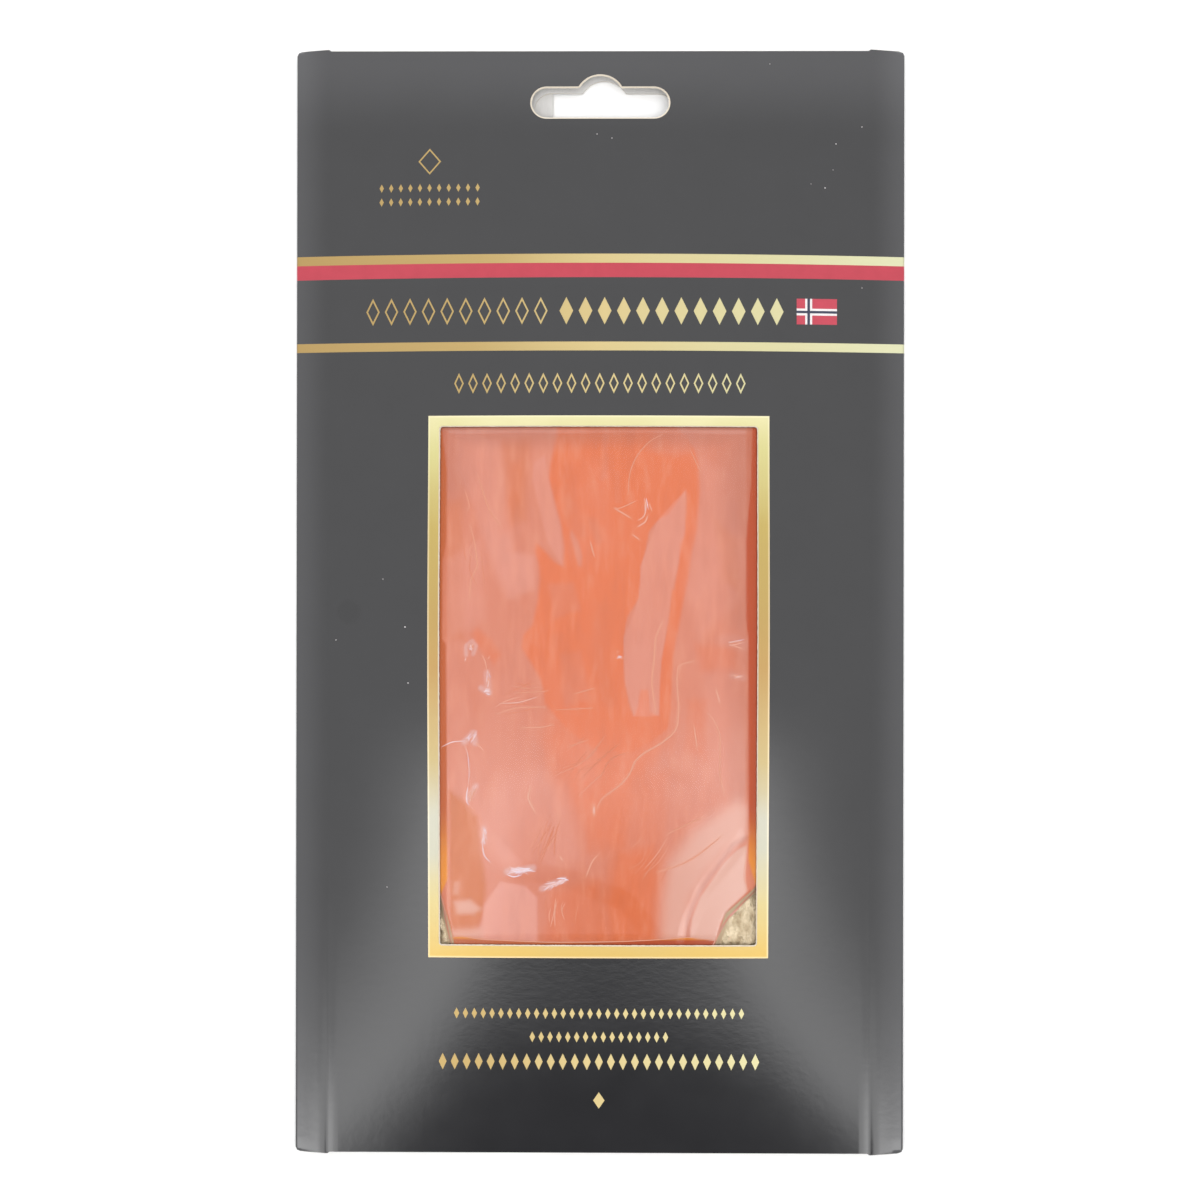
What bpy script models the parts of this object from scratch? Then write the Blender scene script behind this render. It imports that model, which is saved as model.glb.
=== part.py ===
# Pack of smoked salmon: a flat card sleeve with a window, round a clear sealed pouch.
# The pack lies on its back. X runs across it, Y runs towards the hang slot and Z comes
# out of the front. The origin is under the middle of the pack, on the surface it lies on.
import math

import bmesh
import bpy

MM = 0.001

# Card sleeve
SLEEVE_WIDTH = 139.3 * MM
SLEEVE_LENGTH = 252.1 * MM
CARD = 0.4 * MM
FOLD_RADIUS = 0.55 * MM
CORNER_RADIUS = 0.9 * MM
LEFT_STRIP = 7.5 * MM
RIGHT_STRIP = 7.85 * MM
STRIP_PROUD = 0.35 * MM
CREASE_HEIGHT = 2.3 * MM
END_CREASE_HEIGHT = 1.75 * MM
# Rise of the front panel's middle over its creases, at places along the length
RISE_STATIONS = (
    (-126.0 * MM, 0.0),
    (-81.0 * MM, 1.95 * MM),
    (-9.0 * MM, 6.6 * MM),
    (42.0 * MM, 4.4 * MM),
    (79.0 * MM, 4.2 * MM),
    (126.0 * MM, 0.0),
)
# The panel is an arch at its ends, and fuller than an arch round the window's middle
ARCH_POWER = 2.0
FULLER_BY = 1.0
FULLEST_AT = -9.0 * MM
FULL_REACH = 35.0 * MM

# The back is two panels: the left one lies outside the right one and is glued to it.
# The outer one's edge shows as a narrow groove, and past it the back rises to be level.
FLAP_EDGE = -10.9 * MM
OVERLAP = 14.0 * MM
RAMP = 8.0 * MM
GROOVE_WIDTH = 0.1 * MM

# Window in the front panel: left, right, bottom and top edges
WINDOW = (-36.55 * MM, 36.0 * MM, -78.45 * MM, 39.95 * MM)
WINDOW_CORNER = 0.8 * MM

# Hang slot, punched in the front panel and, a little lower and to the right, in the back
SLOT_LENGTH = 32.0 * MM
SLOT_BAND = 7.55 * MM
SLOT_MIDDLE = 114.0 * MM
LOBE_CHORD = 9.95 * MM
LOBE_HEIGHT = 2.85 * MM
BACK_SLOT_SHIFT = (0.9 * MM, -1.2 * MM)

# Clear pouch, sealed flat round a board with the sliced fish on it
GAP = 0.3 * MM
WINDOW_GRID = 1.9 * MM
HIDDEN_GRID = 4.4 * MM
POUCH_WIDTH = 116.0 * MM
POUCH_ENDS = (-104.0 * MM, 98.0 * MM)
POUCH_BASE = 2 * CARD + GAP
RIM_THICKNESS = 0.35 * MM
BOARD_WIDTH = 97.0 * MM
BOARD_ENDS = (-90.0 * MM, 86.0 * MM)
BOARD_TOP = 2.05 * MM
WINDOW_LIFT = 0.6 * MM
LIFT_REACH = 2.6 * MM

# Outline of the sliced fish, anticlockwise from its lower left, with the lower right
# corner cut off and the lower left one drawn in
FISH_OUTLINE = (
    (-32.0, -86.0),
    (24.0, -86.0),
    (27.0, -78.0),
    (29.3, -71.2),
    (35.4, -65.9),
    (41.0, -60.0),
    (44.0, -40.0),
    (44.0, 58.0),
    (40.0, 76.0),
    (-40.0, 76.0),
    (-44.0, 58.0),
    (-43.0, -20.0),
    (-40.0, -52.0),
    (-36.8, -67.0),
    (-34.6, -74.0),
)
FISH_EDGE = 2.0 * MM

# Rounded lower left edge of the top slice, which lies on the one under it
TOP_SLICE_EDGE = (
    (-50.0, 2.0),
    (-31.0, -6.0),
    (-25.5, -19.7),
    (-29.6, -31.3),
    (-29.0, -42.0),
    (-26.2, -53.0),
    (-18.3, -60.8),
    (-6.9, -63.1),
    (6.0, -68.0),
    (14.0, -78.0),
    (16.0, -90.0),
)
# Corners that close the top slice's area round the rest of the fish
TOP_SLICE_REST = ((60.0, -90.0), (60.0, 90.0), (-50.0, 90.0))
SLICE_STEP = 0.4 * MM
SLICE_EDGE_REACH = 1.6 * MM

# Long muscle blocks that stand a little above the soft fish between them: a route down
# the block's middle, and its half width
MUSCLE_BLOCKS = (
    (((16.5, 22.0), (14.0, 8.0), (11.0, -6.0), (9.5, -20.0)), 4.2),
    (((-6.5, 38.0), (-12.5, 24.0), (-10.5, 10.0)), 3.4),
    (((28.0, 34.0), (27.5, 10.0), (25.0, -14.0), (20.0, -34.0)), 5.0),
    (((-28.0, 34.0), (-24.0, 10.0), (-22.0, -12.0)), 5.0),
)
BLOCK_HEIGHT = 0.3 * MM
BLOCK_FADE_END = 1.6

# Fold that runs up to the right across the lower right corner
FOLD_ROUTE = ((19.0, -80.0), (20.6, -73.0), (24.0, -65.4), (28.6, -59.5), (33.4, -53.0))
FOLD_DEPTH = 0.5 * MM
FOLD_HALF_WIDTH = 1.7 * MM


def smooth(share):
    share = min(1.0, max(0.0, share))
    return share * share * (3 - 2 * share)


def curve_through(stations, place):
    # A smooth curve through the stations, with each slope taken from its neighbours
    last = len(stations) - 1
    place = min(max(place, stations[0][0]), stations[last][0])
    index = max(i for i in range(last) if stations[i][0] <= place)
    slopes = []
    for i in (index, index + 1):
        before, after = stations[max(i - 1, 0)], stations[min(i + 1, last)]
        slopes.append((after[1] - before[1]) / (after[0] - before[0]))
    (start, low), (end, high) = stations[index], stations[index + 1]
    span = end - start
    t = (place - start) / span
    return (
        (2 * t**3 - 3 * t**2 + 1) * low
        + (t**3 - 2 * t**2 + t) * span * slopes[0]
        + (3 * t**2 - 2 * t**3) * high
        + (t**3 - t**2) * span * slopes[1]
    )


LEFT_CREASE = LEFT_STRIP - SLEEVE_WIDTH / 2
RIGHT_CREASE = SLEEVE_WIDTH / 2 - RIGHT_STRIP


def crease_height(y):
    end_share = abs(y) / (SLEEVE_LENGTH / 2)
    return CREASE_HEIGHT - (CREASE_HEIGHT - END_CREASE_HEIGHT) * end_share**4


def front_height(x, y):
    # Outer face of the front panel, an arch from crease to crease
    middle = (LEFT_CREASE + RIGHT_CREASE) / 2
    half = (RIGHT_CREASE - LEFT_CREASE) / 2
    power = ARCH_POWER + FULLER_BY * math.exp(-(((y - FULLEST_AT) / FULL_REACH) ** 2))
    share = min(1.0, abs(x - middle) / half)
    return crease_height(y) + curve_through(RISE_STATIONS, y) * (1 - share**power)


def distance_to_segment(x, y, a, b):
    dx, dy = b[0] - a[0], b[1] - a[1]
    t = ((x - a[0]) * dx + (y - a[1]) * dy) / (dx * dx + dy * dy)
    t = min(1.0, max(0.0, t))
    return math.hypot(x - a[0] - t * dx, y - a[1] - t * dy)


def distance_to_route(x, y, route):
    points = [(px * MM, py * MM) for px, py in route]
    return min(distance_to_segment(x, y, a, b) for a, b in zip(points, points[1:]))


def is_inside(x, y, outline):
    inside = False
    for (ax, ay), (bx, by) in zip(outline, outline[1:] + outline[:1]):
        ax, ay, bx, by = ax * MM, ay * MM, bx * MM, by * MM
        if (ay > y) != (by > y) and x < ax + (y - ay) / (by - ay) * (bx - ax):
            inside = not inside
    return inside


def fish_cover(x, y):
    # 1 on the fish and 0 on the bare board, falling over the slice's edge
    depth = distance_to_route(x, y, FISH_OUTLINE + FISH_OUTLINE[:1])
    depth = depth if is_inside(x, y, FISH_OUTLINE) else -depth
    return smooth(0.5 + depth / FISH_EDGE)


def relief(x, y):
    # The slices' own surface, measured from a plain one
    past_edge = distance_to_route(x, y, TOP_SLICE_EDGE)
    past_edge = past_edge if is_inside(x, y, TOP_SLICE_EDGE + TOP_SLICE_REST) else -past_edge
    height = SLICE_STEP * (smooth(0.5 + past_edge / SLICE_EDGE_REACH) - 1)
    for route, half_width in MUSCLE_BLOCKS:
        # A block fades out at its half width times the fade's end, and half of its height
        # is taken off all round, so that blocks stand up and the fish between them sinks
        away = distance_to_route(x, y, route) / (half_width * MM)
        height += BLOCK_HEIGHT * (smooth(BLOCK_FADE_END - away) - 1 / 2)
    height -= FOLD_DEPTH * smooth(1 - distance_to_route(x, y, FOLD_ROUTE) / FOLD_HALF_WIDTH)
    return height


def depth_in_window(x, y):
    left, right, bottom, top = WINDOW
    return min(x - left, right - x, y - bottom, top - y)


def pouch_height(x, y):
    rim = POUCH_BASE + RIM_THICKNESS
    room = front_height(x, y) - CARD - GAP
    board_depth = min(
        BOARD_WIDTH / 2 - abs(x),
        y - BOARD_ENDS[0],
        BOARD_ENDS[1] - y,
    )
    base = rim + (BOARD_TOP - rim) * smooth(board_depth / GAP)
    in_window = smooth(depth_in_window(x, y) / LIFT_REACH)
    full = room + in_window * (WINDOW_LIFT + relief(x, y))
    return base + (max(full, base) - base) * fish_cover(x, y)


def half_width_at(y):
    # The sleeve's four outer corners are slightly rounded
    past = max(0.0, abs(y) - (SLEEVE_LENGTH / 2 - CORNER_RADIUS))
    return SLEEVE_WIDTH / 2 - CORNER_RADIUS + math.sqrt(max(0.0, CORNER_RADIUS**2 - past**2))


def arc(centre_x, centre_z, radius, start, end, steps):
    angles = [math.radians(start + (end - start) * i / steps) for i in range(steps + 1)]
    return [(centre_x + radius * math.cos(a), centre_z + radius * math.sin(a)) for a in angles]


PANEL_STEPS = 20
FOLD_STEPS = 4
LENGTH_STEPS = 27
CORNER_STEPS = 3
ROUND_END_STEPS = 8
CREASE_LAND = 0.5 * MM
CARD_SHARP_ANGLE = math.radians(25)
POUCH_SHARP_ANGLE = math.radians(40)
CARD_COLOUR = (0.045, 0.045, 0.05)
CARD_ROUGHNESS = 0.42
SALMON_COLOUR = (0.78, 0.27, 0.14)
FILM_ROUGHNESS = 0.25
# Levels that the cutters reach: over the front, in the hollow, and under the back
OVER_FRONT = 12.0 * MM
IN_HOLLOW = 1.2 * MM
UNDER_BACK = -2.0 * MM


def section(y, inset):
    # One turn round the sleeve at y, clockwise from the left fold's top when seen along
    # +Y. An inset of 0 gives the outer face, and one card thickness gives the inner face.
    half = half_width_at(y)
    radius = FOLD_RADIUS - inset
    fold_x = half - FOLD_RADIUS
    first, last = LEFT_CREASE + CREASE_LAND, RIGHT_CREASE - CREASE_LAND
    across = [first + (last - first) * i / PANEL_STEPS for i in range(PANEL_STEPS + 1)]
    points = [(x, front_height(x, y) - inset) for x in [LEFT_CREASE, *across, RIGHT_CREASE]]
    points += arc(fold_x, FOLD_RADIUS, radius, 90, -90, FOLD_STEPS)
    if inset:
        low, high = CARD, 2 * CARD
        back = [
            (FLAP_EDGE + RAMP, low),
            (FLAP_EDGE, high),
            (FLAP_EDGE - OVERLAP, high),
            (FLAP_EDGE - OVERLAP - GROOVE_WIDTH, low),
        ]
    else:
        back = [
            (FLAP_EDGE + RAMP, 0.0),
            (FLAP_EDGE + GROOVE_WIDTH, CARD),
            (FLAP_EDGE, 0.0),
            (FLAP_EDGE - OVERLAP, 0.0),
        ]
    points += back
    points += arc(-fold_x, FOLD_RADIUS, radius, -90, -270, FOLD_STEPS)
    return points


def end_reach(x):
    # The strips' ends stand slightly past the panel's end, most of all at the creases
    for crease, side in ((LEFT_CREASE, -1), (RIGHT_CREASE, 1)):
        past = (x - crease) * side
        if past >= 0:
            return STRIP_PROUD * max(0.0, 1 - past / LEFT_STRIP)
    return 0.0


def station_places():
    # Close together at the rounded ends, and evenly spread between them
    half = SLEEVE_LENGTH / 2
    near_end = [0.0, CORNER_RADIUS / 3, CORNER_RADIUS]
    inner = half - CORNER_RADIUS
    middle = [-inner + 2 * inner * i / LENGTH_STEPS for i in range(1, LENGTH_STEPS)]
    return [-half + d for d in near_end] + middle + [half - d for d in reversed(near_end)]


def material(name, colour, roughness, metallic=0.0):
    made = bpy.data.materials.new(name)
    made.use_nodes = True
    shader = made.node_tree.nodes["Principled BSDF"]
    shader.inputs["Base Color"].default_value = (*colour, 1.0)
    shader.inputs["Roughness"].default_value = roughness
    shader.inputs["Metallic"].default_value = metallic
    return made


def object_from(name, mesh_builder, finish=None):
    bmesh.ops.recalc_face_normals(mesh_builder, faces=mesh_builder.faces[:])
    mesh = bpy.data.meshes.new(name)
    mesh_builder.to_mesh(mesh)
    mesh_builder.free()
    made = bpy.data.objects.new(name, mesh)
    bpy.context.scene.collection.objects.link(made)
    if finish:
        mesh.materials.append(finish)
    return made


def sleeve_shell(finish):
    # The folded card as one wall: an outer and an inner skin, joined at both open ends
    build = bmesh.new()
    places = station_places()
    skins = []
    for inset in (0.0, CARD):
        rings = []
        for y in places:
            at_end = y in (places[0], places[-1])
            ring = []
            for x, z in section(y, inset):
                reach = math.copysign(end_reach(x), y) if at_end else 0.0
                ring.append(build.verts.new((x, y + reach, z)))
            rings.append(ring)
        skins.append(rings)
    count = len(skins[0][0])
    for rings in skins:
        for ring, after in zip(rings, rings[1:]):
            for i in range(count):
                j = (i + 1) % count
                build.faces.new((ring[i], ring[j], after[j], after[i]))
    for end in (0, -1):
        outer, inner = skins[0][end], skins[1][end]
        for i in range(count):
            j = (i + 1) % count
            build.faces.new((outer[i], outer[j], inner[j], inner[i]))
    return object_from("sleeve", build, finish)


def window_outline():
    left, right, bottom, top = WINDOW
    r = WINDOW_CORNER
    corners = ((right - r, top - r, 0), (left + r, top - r, 90))
    corners += ((left + r, bottom + r, 180), (right - r, bottom + r, 270))
    return [p for x, y, turn in corners for p in arc(x, y, r, turn, turn + 90, CORNER_STEPS)]


def slot_outline(shift_x=0.0, shift_y=0.0):
    # A long slot with round ends and a round lobe in the middle of its upper side
    r = SLOT_BAND / 2
    end = SLOT_LENGTH / 2 - r
    lobe_radius = ((LOBE_CHORD / 2) ** 2 + LOBE_HEIGHT**2) / (2 * LOBE_HEIGHT)
    lobe_centre = r + LOBE_HEIGHT - lobe_radius
    lean = math.degrees(math.asin(LOBE_CHORD / 2 / lobe_radius))
    points = arc(end, 0.0, r, -90, 90, ROUND_END_STEPS)
    points += arc(0.0, lobe_centre, lobe_radius, 90 - lean, 90 + lean, ROUND_END_STEPS)
    points += arc(-end, 0.0, r, 90, 270, ROUND_END_STEPS)
    return [(x + shift_x, y + SLOT_MIDDLE + shift_y) for x, y in points]


def cutter(name, outlines, top, depths):
    # Faces side by side, taken down together to the first depth, and then the second
    # face alone to the next depth
    build = bmesh.new()
    corners = {}

    def corner(point):
        key = (round(point[0] / MM, 4), round(point[1] / MM, 4))
        if key not in corners:
            corners[key] = build.verts.new((*point, top))
        return corners[key]

    faces = [build.faces.new([corner(p) for p in outline]) for outline in outlines]
    level = top
    for depth in depths:
        kept = bmesh.ops.extrude_face_region(build, geom=faces)["geom"]
        moved = [v for v in kept if isinstance(v, bmesh.types.BMVert)]
        bmesh.ops.translate(build, verts=moved, vec=(0, 0, depth - level))
        if level < top:
            bmesh.ops.delete(build, geom=faces, context="FACES_ONLY")
        level = depth
        faces = [f for f in kept if isinstance(f, bmesh.types.BMFace)]
        faces = [max(faces, key=lambda f: f.calc_center_median().x)]
    made = object_from(name, build)
    made.hide_render = True
    made.display_type = "WIRE"
    return made


def split_at(outline, x):
    # The outline's parts left and right of x, which share the cut's two ends
    left, right = [], []
    for a, b in zip(outline, outline[1:] + outline[:1]):
        (left if a[0] < x else right).append(a)
        if (a[0] < x) != (b[0] < x):
            t = (x - a[0]) / (b[0] - a[0])
            meeting = (x, a[1] + t * (b[1] - a[1]))
            left.append(meeting)
            right.append(meeting)
    return left, right


def cut(target, tool):
    modifier = target.modifiers.new(tool.name, "BOOLEAN")
    modifier.operation = "DIFFERENCE"
    modifier.solver = "EXACT"
    modifier.object = tool


def grid_lines(low, window_low, window_high, high):
    # Even lines from low to high, closer together where they show in the window
    lines = []
    for start, end, step in (
        (low, window_low, HIDDEN_GRID),
        (window_low, window_high, WINDOW_GRID),
        (window_high, high, HIDDEN_GRID),
    ):
        count = max(1, round((end - start) / step))
        lines += [start + (end - start) * i / count for i in range(count)]
    return lines + [high]


def pouch_solid(finish):
    build = bmesh.new()
    left, right, bottom, top = WINDOW
    half = POUCH_WIDTH / 2
    columns = grid_lines(-half, left, right, half)
    rows = grid_lines(POUCH_ENDS[0], bottom, top, POUCH_ENDS[1])
    grid = [[build.verts.new((x, y, pouch_height(x, y))) for x in columns] for y in rows]
    for row, after in zip(grid, grid[1:]):
        for i in range(len(columns) - 1):
            build.faces.new((row[i], row[i + 1], after[i + 1], after[i]))
    rim = grid[0][:-1] + [row[-1] for row in grid[:-1]]
    rim += grid[-1][:0:-1] + [row[0] for row in grid[:0:-1]]
    base = [build.verts.new((v.co.x, v.co.y, POUCH_BASE)) for v in rim]
    for i in range(len(rim)):
        j = (i + 1) % len(rim)
        build.faces.new((rim[j], rim[i], base[i], base[j]))
    build.faces.new(list(reversed(base)))
    made = object_from("pouch", build, finish)
    made.data.shade_smooth()
    made.data.set_sharp_from_angle(angle=POUCH_SHARP_ANGLE)
    return made


def main():
    for old in list(bpy.data.objects):
        bpy.data.objects.remove(old)
    sleeve = sleeve_shell(material("dark_card", CARD_COLOUR, CARD_ROUGHNESS))
    sleeve.data.shade_smooth()
    sleeve.data.set_sharp_from_angle(angle=CARD_SHARP_ANGLE)
    cut(sleeve, cutter("window_cutter", [window_outline()], OVER_FRONT, [IN_HOLLOW]))
    slot = [slot_outline()]
    cut(sleeve, cutter("front_slot_cutter", slot, OVER_FRONT, [IN_HOLLOW]))
    back_slot = split_at(slot_outline(*BACK_SLOT_SHIFT), FLAP_EDGE + GROOVE_WIDTH / 2)
    cut(sleeve, cutter("back_slot_cutter", back_slot, IN_HOLLOW, [CARD, UNDER_BACK]))
    pouch_solid(material("clear_pouch_of_salmon", SALMON_COLOUR, FILM_ROUGHNESS))


main()
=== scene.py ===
# Looks of the smoked salmon pack: card sleeve, foil, clear pouch, sliced fish and board.
# Sizes are in millimetres, and become metres where a mesh is made.
import math
import random

import bpy
import numpy as np
from mathutils import Euler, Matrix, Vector, noise


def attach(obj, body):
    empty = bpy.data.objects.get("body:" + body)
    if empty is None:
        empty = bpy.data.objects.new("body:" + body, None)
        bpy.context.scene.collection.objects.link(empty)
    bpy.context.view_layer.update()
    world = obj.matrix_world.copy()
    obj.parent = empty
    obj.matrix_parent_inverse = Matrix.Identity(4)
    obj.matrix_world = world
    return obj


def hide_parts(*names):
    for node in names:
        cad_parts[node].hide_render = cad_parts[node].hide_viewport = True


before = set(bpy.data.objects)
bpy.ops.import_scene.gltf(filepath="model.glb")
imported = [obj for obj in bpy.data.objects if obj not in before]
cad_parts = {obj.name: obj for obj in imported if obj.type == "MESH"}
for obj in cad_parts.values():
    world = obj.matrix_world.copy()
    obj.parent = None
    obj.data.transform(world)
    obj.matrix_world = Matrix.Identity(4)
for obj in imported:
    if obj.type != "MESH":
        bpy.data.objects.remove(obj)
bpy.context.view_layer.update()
mm = 0.001
print("frame loaded")


# Camera, which also says where a pixel of the photograph lies on the pack
camera = {
    "height": 500.0,
    "aside": 5.0,
    "focalPixels": 2177.4,
    "imagePixels": 1200.0,
    "aim": (0.07, 0.44),
    "rollDegrees": 0.09,
    "sensor": 36.0,
    "nearest": 0.01,
    "firstGuess": 5.0,
    "rounds": 4,
}


def cameraTurn():
    lean = math.atan2(camera["aside"] - camera["aim"][0], camera["height"])
    nod = math.atan2(camera["aim"][1], camera["height"])
    return Euler((nod, lean, math.radians(camera["rollDegrees"])), "XYZ")


def makeCamera():
    data = bpy.data.cameras.new("camera")
    data.sensor_width = camera["sensor"]
    data.lens = camera["focalPixels"] / camera["imagePixels"] * camera["sensor"]
    data.clip_start = camera["nearest"]
    made = bpy.data.objects.new("camera", data)
    made.location = (camera["aside"] * mm, 0, camera["height"] * mm)
    made.rotation_euler = cameraTurn()
    bpy.context.scene.collection.objects.link(made)
    bpy.context.scene.camera = made


# Card sleeve: sizes of the folded blank
card = {
    "width": 139.3,
    "length": 252.1,
    "thick": 0.4,
    "foldRadius": 0.55,
    "cornerRadius": 0.9,
    "leftStrip": 7.5,
    "rightStrip": 7.85,
    "stripProud": 0.35,
    "creaseHeight": 2.3,
    "endCreaseHeight": 1.75,
    "riseStations": ((-126.0, 0.0), (-81.0, 1.95), (-9.0, 6.6), (42.0, 4.4), (79.0, 4.2), (126.0, 0.0)),
    "archPower": 2.0,
    "fullerBy": 1.0,
    "fullestAt": -9.0,
    "fullReach": 35.0,
    "flapEdge": -10.9,
    "overlap": 14.0,
    "ramp": 8.0,
    "glueGap": 0.02,
    "groove": 0.1,
    "grooveHalf": 0.44,
    "grooveLeast": 0.3,
    "grooveTop": 20.0,
    "grooveFade": 130.0,
    "creaseNear": 0.45,
    "rowGap": 2.6,
    "columnGap": 2.0,
    "backGap": 3.5,
    "foldSteps": 8,
}
window = {"left": -36.55, "right": 36.0, "bottom": -78.45, "top": 39.95, "corner": 0.8}
slot = {
    "length": 32.0,
    "band": 7.55,
    "middle": 114.0,
    "lobeChord": 9.95,
    "lobeHeight": 2.85,
    "backShift": (0.9, -1.2),
}
stripes = {"lowerGold": (57.0, 59.0), "red": (73.6, 76.89), "upperGold": (76.89, 78.97)}
foilFrame = {"left": -38.97, "right": 38.53, "bottom": -81.15, "top": 42.25}
leftCrease = card["leftStrip"] - card["width"] / 2
rightCrease = card["width"] / 2 - card["rightStrip"]


def smooth(share):
    share = np.clip(share, 0, 1)
    return share * share * (3 - 2 * share)


def riseAt(y):
    # smooth curve through the stations, each slope taken from the neighbours
    places, rises = np.array(card["riseStations"]).T
    last = len(places) - 1
    slopes = []
    for i in range(len(places)):
        before, after = max(i - 1, 0), min(i + 1, last)
        slopes.append((rises[after] - rises[before]) / (places[after] - places[before]))
    slopes = np.array(slopes)
    y = np.clip(y, places[0], places[-1])
    i = np.clip(np.searchsorted(places, y, side="right") - 1, 0, last - 1)
    span = places[i + 1] - places[i]
    t = (y - places[i]) / span
    return (
        (2 * t**3 - 3 * t**2 + 1) * rises[i]
        + (t**3 - 2 * t**2 + t) * span * slopes[i]
        + (3 * t**2 - 2 * t**3) * rises[i + 1]
        + (t**3 - t**2) * span * slopes[i + 1]
    )


def creaseHeight(y):
    drop = card["creaseHeight"] - card["endCreaseHeight"]
    return card["creaseHeight"] - drop * (np.abs(y) / (card["length"] / 2)) ** 4


def frontHeight(x, y):
    middle = (leftCrease + rightCrease) / 2
    half = (rightCrease - leftCrease) / 2
    fuller = np.exp(-(((y - card["fullestAt"]) / card["fullReach"]) ** 2))
    power = card["archPower"] + card["fullerBy"] * fuller
    share = np.minimum(1, np.abs(x - middle) / half)
    return creaseHeight(y) + riseAt(y) * (1 - share**power)


def spot(px, py):
    # where the ray through a pixel of the photograph meets the pack's front
    px, py = np.asarray(px, float), np.asarray(py, float)
    half = camera["imagePixels"] / 2
    across, up = (px - half) / camera["focalPixels"], (half - py) / camera["focalPixels"]
    ray = np.stack([across, up, -np.ones_like(px)])
    ray = np.array(cameraTurn().to_matrix()) @ ray.reshape(3, -1)
    z = np.full(ray.shape[1], camera["firstGuess"])
    for _ in range(camera["rounds"]):
        way = (camera["height"] - z) / -ray[2]
        x, y = camera["aside"] + ray[0] * way, ray[1] * way
        z = frontHeight(x, y)
    return np.stack([x, y], axis=1)


def spots(points):
    return spot(*np.array(points, float).T)


# Small helpers for meshes
def deselect():
    if bpy.context.mode != "OBJECT":
        bpy.ops.object.mode_set(mode="OBJECT")
    bpy.ops.object.select_all(action="DESELECT")


def pick(piece):
    deselect()
    piece.select_set(True)
    bpy.context.view_layer.objects.active = piece


def editing(piece):
    # into edit mode, with everything selected
    pick(piece)
    bpy.ops.object.mode_set(mode="EDIT")
    bpy.ops.mesh.select_all(action="SELECT")


def sealed():
    # out of edit mode, with every normal outward
    bpy.ops.mesh.select_all(action="SELECT")
    bpy.ops.mesh.normals_make_consistent(inside=False)
    bpy.ops.object.mode_set(mode="OBJECT")


def named(name):
    made = bpy.context.object
    made.name = made.data.name = name
    return made


def corners(piece):
    places = np.empty(len(piece.data.vertices) * 3)
    piece.data.vertices.foreach_get("co", places)
    return places.reshape(-1, 3)


def putCorners(piece, places):
    piece.data.vertices.foreach_set("co", np.ascontiguousarray(places, float).ravel())
    piece.data.update()


def applied(piece, kind, **settings):
    pick(piece)
    modifier = piece.modifiers.new(kind.lower(), kind)
    for key, value in settings.items():
        setattr(modifier, key, value)
    bpy.ops.object.modifier_apply(modifier=modifier.name)
    return piece


def gridSheet(name, across, along):
    # a grid with its lines at the given places: returns it with each corner's column and row
    deselect()
    bpy.ops.mesh.primitive_grid_add(x_subdivisions=len(across) - 1, y_subdivisions=len(along) - 1, size=2)
    made = named(name)
    flat = corners(made)
    column = np.rint((flat[:, 0] + 1) / 2 * (len(across) - 1)).astype(int)
    row = np.rint((flat[:, 1] + 1) / 2 * (len(along) - 1)).astype(int)
    return made, column, row


def sheet(name, across, along, height):
    # a grid at the height that x and y give: returns it with each corner's x and y
    made, column, row = gridSheet(name, across, along)
    x, y = across[column], along[row]
    putCorners(made, np.column_stack([x, y, height(x, y)]) * mm)
    return made, x, y


def evenly(stops, gap):
    # every stop, with even steps of about the gap between them
    lines = []
    for start, end in zip(stops, stops[1:]):
        steps = max(1, round((end - start) / gap))
        lines += [start + (end - start) * i / steps for i in range(steps)]
    return np.array(lines + [stops[-1]])


def unevenly(stops, gaps):
    # the same with a gap of its own for each stretch
    lines = [evenly((start, end), gap)[:-1] for start, end, gap in zip(stops, stops[1:], gaps)]
    return np.concatenate([*lines, stops[-1:]])


def faceMiddles(piece):
    middles = np.empty(len(piece.data.polygons) * 3)
    piece.data.polygons.foreach_get("center", middles)
    return middles.reshape(-1, 3) / mm


def joined(name, pieces):
    deselect()
    for piece in pieces:
        piece.select_set(True)
    bpy.context.view_layer.objects.active = pieces[0]
    if len(pieces) > 1:
        bpy.ops.object.join()
    return named(name)


def smoothed(piece, degrees):
    pick(piece)
    bpy.ops.object.shade_smooth_by_angle(angle=math.radians(degrees))
    return piece


def inked(piece, finishes, index):
    # several finishes on one piece, with the number of each face's own
    for finish in finishes:
        piece.data.materials.append(finish)
    faces = piece.data.polygons
    faces.foreach_set("material_index", np.broadcast_to(index, len(faces)).astype(int))
    return piece


def dressed(piece, slotName, *finishes):
    for finish in finishes:
        piece.data.materials.append(finish)
    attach(piece, "root")
    return piece


# Shader maths: a wire is a node's socket, and sums of wires add Math nodes
class Wire:
    def __init__(self, finish, socket):
        self.finish = finish
        self.socket = socket

    def __add__(self, other):
        return self.finish.sum("ADD", self, other)

    def __sub__(self, other):
        return self.finish.sum("SUBTRACT", self, other)

    def __mul__(self, other):
        return self.finish.sum("MULTIPLY", self, other)

    def __truediv__(self, other):
        return self.finish.sum("DIVIDE", self, other)

    def __rsub__(self, other):
        return self.finish.sum("SUBTRACT", other, self)

    __radd__ = __add__
    __rmul__ = __mul__


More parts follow.
